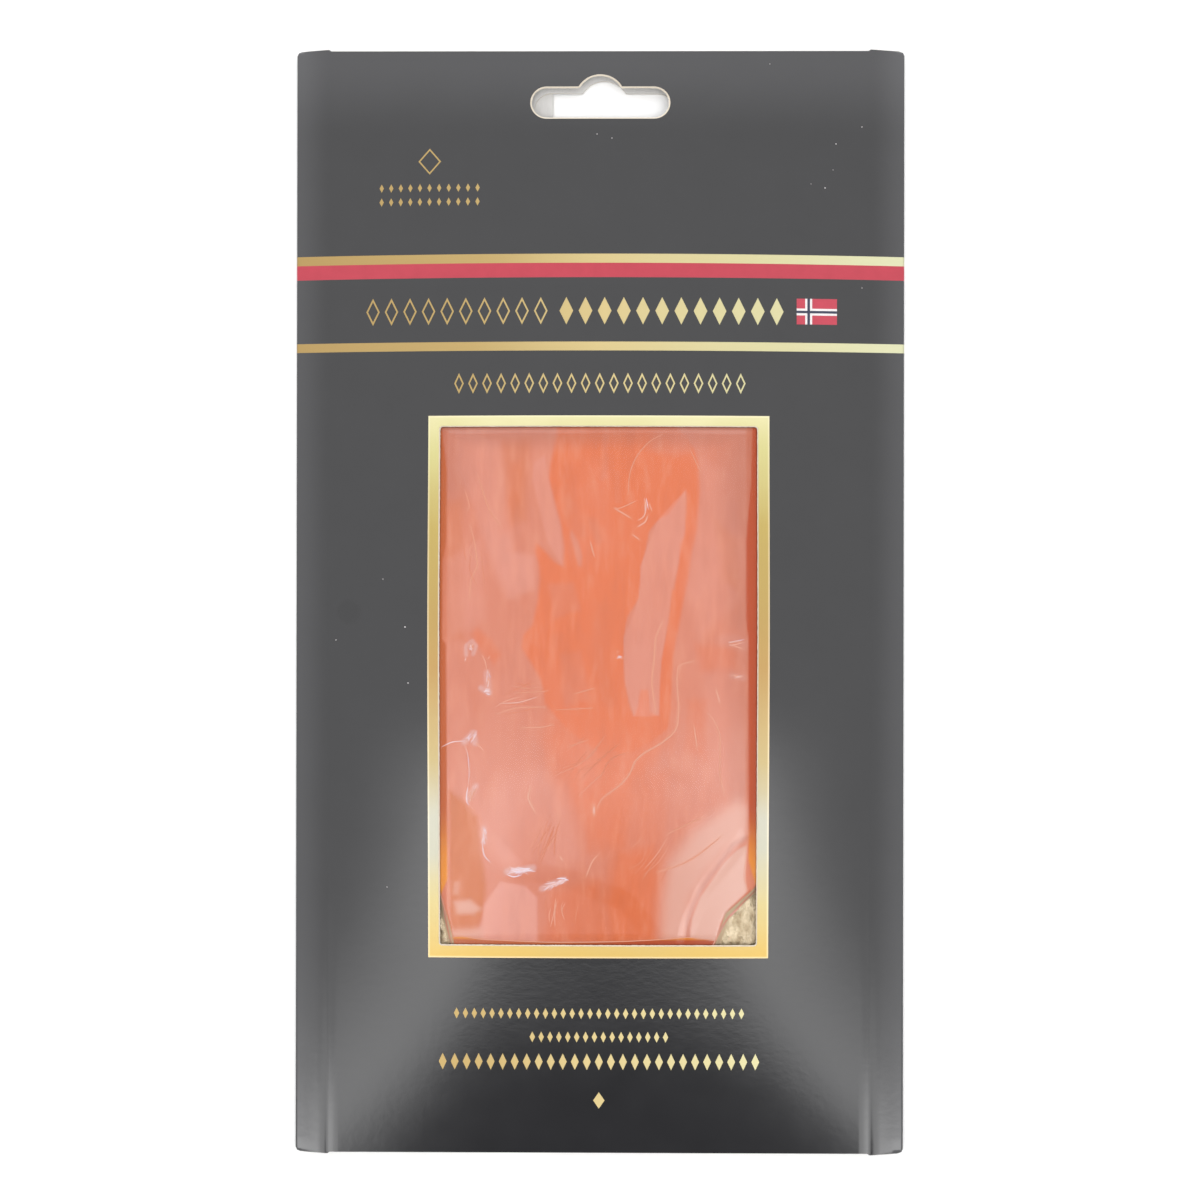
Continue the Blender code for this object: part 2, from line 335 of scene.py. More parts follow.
class Finish:
    # the nodes of a material, or of the world, under construction
    def __init__(self, holder, coords="Object", unit=mm):
        holder.use_nodes = True
        self.holder = holder
        self.nodes = holder.node_tree.nodes
        self.links = holder.node_tree.links
        self.nodes.clear()
        self.coords = self.node("TexCoord", out=coords)
        parts = self.node("SeparateXYZ", {}, {0: self.coords})
        outs = parts.socket.node.outputs
        self.x, self.y, self.z = (Wire(self, outs[i]) / unit for i in range(3))

    def node(self, kind, settings=None, sockets=None, out=0):
        made = self.nodes.new("ShaderNode" + kind)
        for key, value in (settings or {}).items():
            if key == "stops":
                ramp = made.color_ramp.elements
                while len(ramp) < len(value):
                    ramp.new(0.5)
                for element, (place, colour) in zip(ramp, value):
                    element.position = place
                    element.color = (*colour, 1)
            else:
                setattr(made, key, value)
        for key, value in (sockets or {}).items():
            self.feed(made.inputs[key], value)
        return None if out is None else Wire(self, made.outputs[out])

    def feed(self, socket, value):
        if isinstance(value, Wire):
            self.links.new(value.socket, socket)
        elif isinstance(value, tuple) and len(socket.default_value) == 4:
            socket.default_value = (*value, 1)
        else:
            socket.default_value = value

    def sum(self, operation, *values):
        return self.node("Math", {"operation": operation}, dict(enumerate(values)))

    def clamp(self, wire):
        return self.node("Math", {"operation": "ADD", "use_clamp": True}, {0: wire, 1: 0.0})

    def mix(self, share, first, second):
        return self.node("Mix", {"data_type": "RGBA"}, {0: share, 6: first, 7: second}, 2)

    def between(self, wire, low, high):
        # 0 below low and 1 above high, with an eased way between
        return self.node("MapRange", {"interpolation_type": "SMOOTHSTEP"}, {0: wire, 1: low, 2: high})

    def noise(self, size, stretch=(1, 1, 1), detail=3.0, roughness=0.5, spin=0.0, seed=0.0):
        # noise whose features are about size millimetres across
        turned = self.node("Mapping", {}, {0: self.coords, 1: (seed, seed, 0), 2: (0, 0, spin), 3: stretch})
        sockets = {"Vector": turned, "Scale": 1 / (size * mm), "Detail": detail, "Roughness": roughness}
        return self.node("TexNoise", {}, sockets)

    def swing(self, size, **settings):
        # noise about zero that mostly stays between -1 and 1
        return (self.noise(size, **settings) - 0.5) * 4.0

    def mark(self, name):
        return self.node("Attribute", {"attribute_name": name}, {}, "Fac")

    def bump(self, height, strength, depth):
        sockets = {"Height": height, "Strength": strength, "Distance": depth * mm}
        return self.node("Bump", {}, sockets)

    def done(self, shader, output="OutputMaterial"):
        self.node(output, {}, {"Surface": shader}, None)
        return self.holder

    def plain(self, **sockets):
        # a finished surface: names of the main shader's sockets, with _ for each space
        named = {name.replace("_", " "): value for name, value in sockets.items()}
        return self.done(self.node("BsdfPrincipled", {}, named))


def newFinish(name):
    return Finish(bpy.data.materials.new(name))


cardLook = {
    "inkLow": (0.0165, 0.0165, 0.018),
    "inkHigh": (0.0205, 0.0205, 0.0225),
    "gloss": 0.62,
    "roughness": 0.085,
    "mottleRoughness": 0.03,
    "smudgeRoughness": 0.02,
    "smudge": (-57.2, -2.3, 2.6),
    "smudgeEdge": (0.7, 1.3),
    "smudged": 0.2,
    "smudgeTone": (0.0, 0.0, 0.0),
    # painted sheen: the card is made lighter towards both side edges and the top end
    "sheenSides": (61.5, 70.0),
    "sheenTop": (106.0, 124.0),
    "paintedSheen": 0.026,
    "sheenTone": (0.95, 0.95, 1.0),
}


def paintCard():
    f = newFinish("darkCard")
    mottle = f.noise(9, detail=4)
    fine = f.noise(0.5, stretch=(0.6, 1, 1), detail=2)
    peel = f.noise(1.3, stretch=(0.7, 1, 1), detail=2)
    x, y, reach = cardLook["smudge"]
    off = (f.x - x) * (f.x - x) + (f.y - y) * (f.y - y)
    smudge = 1 - f.between(off, *[(reach * share) ** 2 for share in cardLook["smudgeEdge"]])
    # painted sheen, lighter towards the sides and the top end
    paintedSheen = f.between(f.sum("ABSOLUTE", f.x), *cardLook["sheenSides"])
    paintedSheen = paintedSheen + f.between(f.y, *cardLook["sheenTop"])
    ink = f.mix(mottle, cardLook["inkLow"], cardLook["inkHigh"])
    ink = f.mix(paintedSheen * cardLook["paintedSheen"], ink, cardLook["sheenTone"])
    ink = f.mix(smudge * cardLook["smudged"], ink, cardLook["smudgeTone"])
    normal = f.bump(peel * 0.75 + fine * 0.25, 0.4, 0.015)
    rough = cardLook["roughness"] + mottle * cardLook["mottleRoughness"]
    rough = rough + smudge * cardLook["smudgeRoughness"]
    return f.plain(Base_Color=ink, Roughness=rough, Specular_IOR_Level=cardLook["gloss"], Normal=normal)


def insetFrom(f, box):
    # how far inside a box, given by its four sides
    across = f.sum("MINIMUM", f.x - box["left"], box["right"] - f.x)
    return f.sum("MINIMUM", across, f.sum("MINIMUM", f.y - box["bottom"], box["top"] - f.y))


foilLook = {
    "drift": 0.02,
    # a painted highlight along the frame's edges
    "highlightEdge": (0.2, 0.45),
    "edgeHighlight": 0.3,
    "highlightTone": (0.95, 0.85, 0.65),
    "roughness": 0.34,
    "grainRoughness": 0.08,
}


def paintFoil(name, axis, low, high, tones, box=None):
    # hot foil, whose tone drifts along one axis from low to high: the foil's own tone with painted
    # reflection in it
    f = newFinish(name)
    drift = f.swing(18, detail=2)
    place = f.x if axis == "x" else f.y
    share = f.clamp((place - low) / (high - low) + drift * foilLook["drift"])
    tone = f.node("ValToRGB", {"stops": tones}, {0: share})
    if box:
        # painted highlight: paler foil along the frame's edges
        edgeHighlight = 1 - f.between(insetFrom(f, box), *foilLook["highlightEdge"])
        tone = f.mix(edgeHighlight * foilLook["edgeHighlight"], tone, foilLook["highlightTone"])
    grain = f.noise(0.8, detail=2)
    rough = foilLook["roughness"] + grain * foilLook["grainRoughness"]
    return f.plain(Base_Color=tone, Metallic=1.0, Roughness=rough, Normal=f.bump(grain, 0.2, 0.01))


def paintMottled(name, low, high, rough, bump, size, **settings):
    # matt, and mottled between two tones; bump is its strength and depth
    f = newFinish(name)
    mottle = f.noise(size, **settings)
    return f.plain(Base_Color=f.mix(mottle, low, high), Roughness=rough, Normal=f.bump(mottle, *bump))


def paintInk(name, colour):
    paler = tuple(min(1, c * 1.2 + 0.005) for c in colour)
    return paintMottled(name, colour, paler, 0.3, (0.2, 0.01), 2.5, detail=4)


# foil tones along the frame and across the stripes: the foil's colour with painted reflection
frameTonesAndReflection = (
    (0.0, (0.55, 0.38, 0.12)),
    (0.1, (0.5, 0.42, 0.21)),
    (0.2, (0.42, 0.41, 0.33)),
    (0.26, (0.42, 0.41, 0.34)),
    (0.36, (0.4, 0.32, 0.165)),
    (0.54, (0.39, 0.25, 0.1)),
    (0.8, (0.46, 0.35, 0.12)),
    (0.94, (0.56, 0.52, 0.24)),
    (1.0, (0.66, 0.62, 0.36)),
)
stripeTonesAndReflection = (
    (0.0, (0.38, 0.26, 0.105)),
    (0.3, (0.43, 0.31, 0.13)),
    (0.5, (0.545, 0.44, 0.215)),
    (0.75, (0.55, 0.51, 0.29)),
    (1.0, (0.58, 0.58, 0.38)),
)
darkCard = paintCard()
frameFoil = paintFoil("frameFoil", "y", foilFrame["bottom"], foilFrame["top"], frameTonesAndReflection, foilFrame)
stripeFoil = paintFoil("stripeFoil", "x", -card["width"] / 2, card["width"] / 2, stripeTonesAndReflection)
redInk = paintInk("redInk", (0.37, 0.024, 0.045))
boardTones, edgeTones = ((0.49, 0.48, 0.47), (0.62, 0.61, 0.59)), ((0.6, 0.52, 0.4), (0.8, 0.74, 0.64))
fibreGrain = {"stretch": (1, 0.3, 1), "detail": 5, "roughness": 0.65}
boardInside = paintMottled("boardInside", *boardTones, 0.85, (0.4, 0.02), 0.7, **fibreGrain)
cutEdge = paintMottled("cutEdge", *edgeTones, 0.9, (0.5, 0.03), 0.25, detail=4)
# three outer faces, plain, gold and red, then the inner face and the cut edge behind each
cardFinishes = (darkCard, stripeFoil, redInk, *[boardInside] * 3, *[cutEdge] * 3)
print("card finishes ready")


def endReach(x):
    # the strips' ends stand slightly past the panel's end
    reach = np.zeros_like(x)
    for crease, side in ((leftCrease, -1), (rightCrease, 1)):
        past = (x - crease) * side
        proud = card["stripProud"] * np.clip(1 - past / card["leftStrip"], 0, 1)
        reach = np.where(past >= 0, proud, reach)
    return reach


def sleeveRoute():
    # columns once round the folded blank: the stretch that each lies on, and its place there
    def run(stretch, stops, gap):
        return [(stretch, place) for place in evenly(stops, gap)[:-1]]

    near = card["creaseNear"]
    flat = card["width"] / 2 - card["foldRadius"]
    inner = card["flapEdge"] - card["overlap"]
    stops = (inner, card["flapEdge"], card["flapEdge"] + card["ramp"], flat)
    route = run("inner", stops, card["backGap"])
    route += run("rightFold", (-90.0, 90.0), 180.0 / card["foldSteps"])
    stops = (-flat, leftCrease - near, leftCrease, leftCrease + near, foilFrame["left"], foilFrame["right"])
    stops += (rightCrease - near, rightCrease, rightCrease + near, flat)
    route += [("front", place) for place in evenly(stops, card["columnGap"])[::-1][:-1]]
    route += run("leftFold", (90.0, 270.0), 180.0 / card["foldSteps"])
    route += run("back", (-flat, card["flapEdge"]), card["backGap"])
    return route + [("back", card["flapEdge"])]


def halfWidthAt(y):
    radius = card["cornerRadius"]
    past = np.maximum(0, np.abs(y) - (card["length"] / 2 - radius))
    return card["width"] / 2 - radius + np.sqrt(np.maximum(0, radius**2 - past**2))


def outerFace(stretch, place, y):
    # outer face of the blank at one column, for all rows
    radius = card["foldRadius"]
    fold = halfWidthAt(y) - radius
    if stretch == "front":
        x = np.clip(place, -fold, fold)
        low = 2 * radius
        outside = np.maximum(leftCrease - x, x - rightCrease)
        width = np.where(x < 0, leftCrease + fold, fold - rightCrease)
        share = np.clip(outside / np.maximum(width, 0.01), 0, 1)
        strip = creaseHeight(y) + (low - creaseHeight(y)) * share
        z = np.where(outside > 0, strip, frontHeight(x, y))
        crease = max(0, 1 - min(abs(place - leftCrease), abs(place - rightCrease)) / card["grooveHalf"])
        fade = smooth((card["grooveTop"] - y) / card["grooveFade"])
        return x, z - card["groove"] * crease * (card["grooveLeast"] + (1 - card["grooveLeast"]) * fade)
    if stretch in ("rightFold", "leftFold"):
        angle = math.radians(place)
        side = 1 if stretch == "rightFold" else -1
        return side * fold + radius * math.cos(angle), radius + radius * math.sin(angle) + 0 * y
    x = np.clip(place + 0 * y, -fold, fold)
    if stretch == "back":
        return x, 0 * y
    ramp = np.clip((card["flapEdge"] + card["ramp"] - x) / card["ramp"], 0, 1)
    return x, (card["thick"] + card["glueGap"]) * ramp


def makeSleeve():
    half = card["length"] / 2
    ends = (0.0, card["cornerRadius"] / 4, card["cornerRadius"])
    stops = [-half + e for e in ends] + [foilFrame["bottom"], foilFrame["top"]]
    stops += [*stripes["lowerGold"], *stripes["red"], stripes["upperGold"][1]]
    stops += [half - e for e in reversed(ends)]
    rows = evenly(stops, card["rowGap"])
    route = sleeveRoute()
    sleeve, column, row = gridSheet("cardSleeve", route, rows)
    grid = np.empty((len(route), len(rows), 3))
    for i, (stretch, place) in enumerate(route):
        x, z = outerFace(stretch, place, rows)
        reach = np.where(np.abs(rows) > half - 0.01, endReach(x) if stretch == "front" else 0, 0)
        grid[i] = np.stack([x, rows + np.copysign(reach, rows), z], axis=1)
    putCorners(sleeve, grid[column, row] * mm)
    middles = faceMiddles(sleeve)[:, 1]
    ink = np.zeros(len(middles), int)
    for name, finish in (("lowerGold", 1), ("upperGold", 1), ("red", 2)):
        low, high = stripes[name]
        ink[(middles > low) & (middles < high)] = finish
    inked(sleeve, cardFinishes, ink)
    editing(sleeve)
    front = max(sleeve.data.polygons, key=lambda f: f.center.z)
    if front.normal.z < 0:
        bpy.ops.mesh.flip_normals()
    bpy.ops.object.mode_set(mode="OBJECT")
    offsets = {"offset": -1, "material_offset": 3, "material_offset_rim": 6}
    return applied(sleeve, "SOLIDIFY", thickness=card["thick"] * mm, **offsets)


def arc(x, y, radius, start, stop, count):
    turns = np.radians(np.linspace(start, stop, count))
    return np.stack([x + radius * np.cos(turns), y + radius * np.sin(turns)], axis=1)


def slotOutline(shift=(0.0, 0.0)):
    count = 25
    radius = slot["band"] / 2
    end = slot["length"] / 2 - radius
    lobeRadius = ((slot["lobeChord"] / 2) ** 2 + slot["lobeHeight"] ** 2) / (2 * slot["lobeHeight"])
    lobeMiddle = radius + slot["lobeHeight"] - lobeRadius
    reach = math.degrees(math.acos((radius - lobeMiddle) / lobeRadius))
    right = arc(end, 0, radius, -90, 90, count)
    lobe = arc(0, lobeMiddle, lobeRadius, 90 - reach, 90 + reach, count)
    left = arc(-end, 0, radius, 90, 270, count)
    return np.concatenate([right, lobe, left]) + np.array([shift[0], slot["middle"] + shift[1]])


def windowOutline():
    radius, count = window["corner"], 7
    right, left = window["right"] - radius, window["left"] + radius
    top, bottom = window["top"] - radius, window["bottom"] + radius
    middles = ((right, top), (left, top), (left, bottom), (right, bottom))
    turns = (0, 90, 180, 270)
    return np.concatenate([arc(*at, radius, turn, turn + 90, count) for at, turn in zip(middles, turns)])


cuts = {"above": 14.0, "hollow": 1.15, "below": -2.0, "gap": 0.3, "pastEdge": 0.05}


def prism(name, outline, low, high):
    # a closed straight-sided cutter with the given outline
    deselect()
    bpy.ops.mesh.primitive_circle_add(vertices=len(outline), fill_type="NGON")
    made = named(name)
    places = np.concatenate([outline, np.full((len(outline), 1), low)], axis=1)
    putCorners(made, places * mm)
    editing(made)
    bpy.ops.mesh.extrude_region_move(TRANSFORM_OT_translate={"value": (0, 0, (high - low) * mm)})
    sealed()
    return inked(made, cardFinishes, cardFinishes.index(cutEdge))


def cutAway(piece, cutters):
    for cutter in cutters:
        applied(piece, "BOOLEAN", operation="DIFFERENCE", solver="EXACT", object=cutter)
        bpy.data.objects.remove(cutter)
    return piece


cutRim = {
    "gap": 0.35,
    "left": 0.24,
    "right": 0.2,
    "bottom": 0.22,
    "top": 0.18,
    "slot": 0.3,
    "ragged": 0.07,
    "near": 0.3,
    "under": 0.05,
    "sunk": 0.012,
    "merge": 0.001,
    "seed": 5,
}


def rim(name, outline, leans):
    # the sloped cut edge round a hole: a closed ring with a triangle for its section
    count = len(outline)
    made, column, row = gridSheet(name, range(count + 1), range(4))
    along = np.roll(outline, -1, axis=0) - np.roll(outline, 1, axis=0)
    along /= np.linalg.norm(along, axis=1)[:, None]
    inward = np.stack([-along[:, 1], along[:, 0]], axis=1)
    top = frontHeight(*outline.T)
    low = top - card["thick"]
    out = outline - inward * cutRim["under"]
    foot = outline + inward * leans[:, None]
    ring = np.empty((count, 3, 3))
    ring[:, 0] = np.column_stack([out, top - cutRim["sunk"]])
    ring[:, 1] = np.column_stack([foot, low])
    ring[:, 2] = np.column_stack([out, low])
    putCorners(made, ring[column % count, row % 3] * mm)
    editing(made)
    bpy.ops.mesh.remove_doubles(threshold=cutRim["merge"] * mm)
    sealed()
    return dressed(smoothed(made, 50), "dark_card", cutEdge)


def resampled(outline, gap):
    # the closed outline with points about a gap apart
    closed = np.concatenate([outline, outline[:1]])
    lengths = np.linalg.norm(np.diff(closed, axis=0), axis=1)
    places = np.concatenate([[0], np.cumsum(lengths)])
    wanted = np.linspace(0, places[-1], int(places[-1] / gap) + 1)[:-1]
    return np.stack([np.interp(wanted, places, closed[:, i]) for i in (0, 1)], axis=1)


def makeRims():
    draw = np.random.default_rng(cutRim["seed"])
    outline = resampled(windowOutline(), cutRim["gap"])
    x, y = outline.T
    near = cutRim["near"]
    leans = np.full(len(outline), cutRim["top"])
    leans = np.where(x < window["left"] + near, cutRim["left"], leans)
    leans = np.where(x > window["right"] - near, cutRim["right"], leans)
    leans = np.where(y < window["bottom"] + near, cutRim["bottom"], leans)
    rim("windowCutEdge", outline, leans + cutRim["ragged"] * draw.random(len(outline)))
    outline = resampled(slotOutline(), cutRim["gap"])
    rim("slotCutEdge", outline, cutRim["slot"] + cutRim["ragged"] * draw.random(len(outline)))


def cutSleeve(sleeve):
    # window and slot through the front, then the back slot: its right part goes through
    # both back panels, and its left part only through the inner one
    above, hollow = cuts["above"], cuts["hollow"]
    between = card["thick"] + card["glueGap"] / 2
    back = slotOutline(slot["backShift"])
    edge = card["flapEdge"] + cuts["pastEdge"]
    right = np.column_stack([np.maximum(back[:, 0], edge), back[:, 1]])
    cutters = [
        prism("windowCutter", windowOutline(), hollow, above),
        prism("slotCutter", slotOutline(), hollow, above),
        prism("backSlotCutter", back, between, hollow),
        prism("throughCutter", resampled(right, cuts["gap"]), cuts["below"], hollow),
    ]
    cutAway(sleeve, cutters)
    smoothed(sleeve, 25)
    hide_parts("sleeve")
    return dressed(sleeve, "dark_card")


sleeve = cutSleeve(makeSleeve())
makeRims()
print("sleeve folded and cut")


# Foil frame round the window
foil = {"proud": 0.03, "printProud": 0.02, "thick": 0.05, "gap": 1.5}


def foilPatch(name, xs, ys, proud):
    # a thin sheet laid on the front, with grid lines at the given stops and between them
    lines = evenly(xs, foil["gap"]), evenly(ys, foil["gap"])
    patch, _, _ = sheet(name, *lines, lambda x, y: frontHeight(x, y) + proud)
    return applied(patch, "SOLIDIFY", thickness=foil["thick"] * mm, offset=-1)


def makeFrame():
    xs = (foilFrame["left"], window["left"], window["right"], foilFrame["right"])
    ys = (foilFrame["bottom"], window["bottom"], window["top"], foilFrame["top"])
    patch = foilPatch("goldFrame", xs, ys, foil["proud"])
    cutAway(patch, [prism("frameCutter", windowOutline(), cuts["hollow"], cuts["above"])])
    patch.data.materials.clear()
    smoothed(inked(patch, (frameFoil,), 0), 30)
    return dressed(patch, "gold_foil")


# Print on the card: a small flag, and rows of lozenges where the pack has its words
flag = {
    "left": 44.75,
    "right": 54.0,
    "bottom": 63.2,
    "top": 69.05,
    "barX": (46.7, 48.3),
    "barY": (65.25, 66.8),
    "inner": 0.49,
}
flagWhite = paintInk("flagWhite", (0.6, 0.57, 0.57))
flagRed = paintInk("flagRed", (0.39, 0.03, 0.055))
flagBlue = paintInk("flagBlue", (0.015, 0.02, 0.05))


def makeFlag():
    (x1, x2), (y1, y2), inner = flag["barX"], flag["barY"], flag["inner"]
    blueX, blueY = (x1 + inner, x2 - inner), (y1 + inner, y2 - inner)
    xs = (flag["left"], x1, *blueX, x2, flag["right"])
    ys = (flag["bottom"], y1, *blueY, y2, flag["top"])
    patch = foilPatch("flagPrint", xs, ys, foil["printProud"])
    x, y, _ = faceMiddles(patch).T
    white = ((x > x1) & (x < x2)) | ((y > y1) & (y < y2))
    blue = ((x > blueX[0]) & (x < blueX[1])) | ((y > blueY[0]) & (y < blueY[1]))
    inked(patch, (flagRed, flagWhite, flagBlue), np.where(blue, 2, np.where(white, 1, 0)))
    return dressed(patch, "dark_card")


# name, middle of the row's first and last lozenge in x, its y, pitch, half width and half
# height of a lozenge, and its line's width where it is only an outline
lozengeRows = (
    ("markOrnament", 0.0, -38.9, 100.4, 1.0, 2.6, 3.0, 0.32),
    ("markLineUpper", 11.0, -38.9, 94.3, 2.3, 0.5, 0.95, 0.0),
    ("markLineLower", 11.0, -38.9, 91.1, 2.3, 0.5, 0.95, 0.0),
    ("titleThin", 19.2, -32.6, 66.0, 4.26, 1.55, 3.1, 0.36),
    ("titleSolid", 23.9, 16.3, 66.0, 4.26, 1.55, 3.1, 0.0),
    ("subtitle", 32.0, 0.0, 49.6, 3.2, 1.1, 2.35, 0.34),
    ("lowerLineOne", 32.5, 0.0, -93.9, 2.03, 0.62, 1.25, 0.0),
    ("lowerLineTwo", 15.2, 0.0, -99.3, 2.03, 0.62, 1.25, 0.0),
    ("lowerLineThree", 35.7, 0.0, -105.0, 2.75, 0.9, 1.9, 0.0),
    ("lowestMark", 0.0, 0.0, -113.9, 1.0, 1.3, 1.9, 0.0),
)


def lozenge(x, y, halfWidth, halfHeight, line):
    # one flat lozenge of foil, solid or only an outline
    deselect()
    bpy.ops.mesh.primitive_circle_add(vertices=4, radius=1, fill_type="NGON")
    made = named("lozenge")
    editing(made)
    bpy.ops.mesh.select_mode(type="FACE")
    bpy.ops.mesh.select_all(action="SELECT")
    bpy.ops.transform.resize(value=(halfWidth * mm, halfHeight * mm, 1))
    if line:
        bpy.ops.mesh.inset(thickness=line * mm)
        bpy.ops.mesh.delete(type="FACE")
        bpy.ops.mesh.select_all(action="SELECT")
    bpy.ops.mesh.extrude_region_move(TRANSFORM_OT_translate={"value": (0, 0, foil["thick"] * mm)})
    sealed()
    putCorners(made, corners(made) + np.array([x, y, 0]) * mm)
    return made


def makeOrnaments():
    for name, reach, middle, y, pitch, halfWidth, halfHeight, line in lozengeRows:
        places = np.linspace(middle - reach, middle + reach, round(2 * reach / pitch) + 1)
        row = joined(name, [lozenge(x, y, halfWidth, halfHeight, line) for x in places])
        flat = corners(row) / mm
        flat[:, 2] += frontHeight(flat[:, 0], flat[:, 1]) - foil["thick"] + foil["proud"]
        putCorners(row, flat * mm)
        dressed(row, "gold_foil", stripeFoil)


makeFrame()
makeFlag()
makeOrnaments()
print("foil and print laid")


# Specks of dust on the card, where the photograph shows them
dust = {
    "spots": (
        (770, 64), (597, 134), (612, 138), (862, 127), (836, 144), (833, 170), (811, 184),
        (825, 188), (862, 288), (383, 579), (405, 627), (387, 887), (408, 683), (336, 640),
    ),
    "radius": (0.1, 0.2),
    "shape": (1, 0.8, 0.4),
    "proud": 0.02,
    "seed": 3,
}


def makeDust():
    draw = random.Random(dust["seed"])
    specks = []
    for x, y in spots(dust["spots"]):
        radius = draw.uniform(*dust["radius"])
        deselect()
        bpy.ops.mesh.primitive_ico_sphere_add(subdivisions=1, radius=radius * mm)
        speck = named("speck")
        place = np.array([x, y, frontHeight(x, y) + dust["proud"]])
        putCorners(speck, corners(speck) * np.array(dust["shape"]) + place * mm)
        specks.append(speck)
    return dressed(smoothed(joined("dustSpecks", specks), 60), "dark_card", flagWhite)


makeDust()


# The pouch: film drawn tight over the sliced fish on its board
pouch = {
    "width": 116.0,
    "low": -104.0,
    "high": 98.0,
    "base": 1.1,
    "rim": 0.35,
    "gap": 0.3,
    "boardWidth": 97.0,
    "boardLow": -90.0,
    "boardHigh": 86.0,
    "boardTop": 2.05,
    "lift": 0.6,
    "liftReach": 2.6,
    "film": 0.1,
}
fishOutline = (
    (-32.0, -86.0), (24.0, -86.0), (27.0, -78.0), (29.3, -71.2), (35.4, -65.9), (41.0, -60.0),
    (44.0, -40.0), (44.0, 58.0), (40.0, 76.0), (-40.0, 76.0), (-44.0, 58.0), (-43.0, -20.0),
    (-40.0, -52.0), (-36.8, -67.0), (-34.6, -74.0),
)
fishEdge = 1.8
topSliceEdge = (
    (-50.0, 2.0), (-31.0, -6.0), (-25.5, -19.7), (-29.6, -31.3), (-29.0, -42.0), (-26.2, -53.0),
    (-18.3, -60.8), (-6.9, -63.1), (6.0, -68.0), (14.0, -78.0), (16.0, -90.0),
)
topSliceRest = ((60.0, -90.0), (60.0, 90.0), (-50.0, 90.0))
sliceStep, sliceReach = 0.12, 5.0
muscleBlocks = (
    (((16.5, 22.0), (14.0, 8.0), (11.0, -6.0), (9.5, -20.0)), 4.2),
    (((-6.5, 38.0), (-12.5, 24.0), (-10.5, 10.0)), 3.4),
    (((28.0, 34.0), (27.5, 10.0), (25.0, -14.0), (20.0, -34.0)), 5.0),
    (((-28.0, 34.0), (-24.0, 10.0), (-22.0, -12.0)), 5.0),
)
blockHeight, blockFade = 0.045, 1.6
foldRoute = ((19.0, -80.0), (20.6, -73.0), (24.0, -65.4), (28.6, -59.5), (33.4, -53.0))
foldDepth, foldHalf = 0.16, 2.2


def distance(x, y, route):
    # distance to a route of straight stretches
    away = np.full(np.shape(x), 1e9)
    route = np.asarray(route, float)
    for (ax, ay), (bx, by) in zip(route, route[1:]):
        dx, dy = bx - ax, by - ay
        t = np.clip(((x - ax) * dx + (y - ay) * dy) / max(dx * dx + dy * dy, 1e-12), 0, 1)
        away = np.minimum(away, np.hypot(x - ax - t * dx, y - ay - t * dy))
    return away


def depthIn(x, y, outline):
    # distance to the outline, positive inside it
    outline = np.asarray(outline, float)
    closed = np.concatenate([outline, outline[:1]])
    inside = np.zeros(np.shape(x), bool)
    for (ax, ay), (bx, by) in zip(closed, closed[1:]):
        if ay != by:
            inside ^= ((ay > y) != (by > y)) & (x < ax + (y - ay) / (by - ay) * (bx - ax))
    away = distance(x, y, closed)
    return np.where(inside, away, -away)


def fishCover(x, y):
    return smooth(0.5 + depthIn(x, y, fishOutline) / fishEdge)


def relief(x, y):
    past = depthIn(x, y, topSliceEdge + topSliceRest)
    height = sliceStep * (smooth(0.5 + past / sliceReach) - 1)
    for route, half in muscleBlocks:
        height = height + blockHeight * (smooth(blockFade - distance(x, y, route) / half) - 0.5)
    return height - foldDepth * smooth(1 - distance(x, y, foldRoute) / foldHalf)


def pouchHeight(x, y):
    # outer face of the film
    rimTop = pouch["base"] + pouch["rim"]
    room = frontHeight(x, y) - card["thick"] - pouch["gap"]
    boardDepth = np.minimum(pouch["boardWidth"] / 2 - np.abs(x), y - pouch["boardLow"])
    boardDepth = np.minimum(boardDepth, pouch["boardHigh"] - y)
    base = rimTop + (pouch["boardTop"] - rimTop) * smooth(boardDepth / pouch["gap"])
    inWindow = np.minimum(x - window["left"], window["right"] - x)
    inWindow = np.minimum(inWindow, np.minimum(y - window["bottom"], window["top"] - y))
    full = room + smooth(inWindow / pouch["liftReach"]) * (pouch["lift"] + relief(x, y))
    return base + (np.maximum(full, base) - base) * fishCover(x, y)


def closedDown(piece, low):
    # takes the sheet's border down to a level and closes it there
    editing(piece)
    bpy.ops.mesh.select_mode(type="EDGE")
    bpy.ops.mesh.select_all(action="SELECT")
    bpy.ops.mesh.region_to_loop()
    bpy.ops.mesh.extrude_region_move()
    bpy.ops.object.mode_set(mode="OBJECT")
    places = corners(piece)
    chosen = np.array([v.select for v in piece.data.vertices])
    places[chosen, 2] = low * mm
    putCorners(piece, places)
    bpy.ops.object.mode_set(mode="EDIT")
    bpy.ops.mesh.edge_face_add()
    bpy.ops.mesh.select_mode(type="VERT")
    sealed()
    return piece


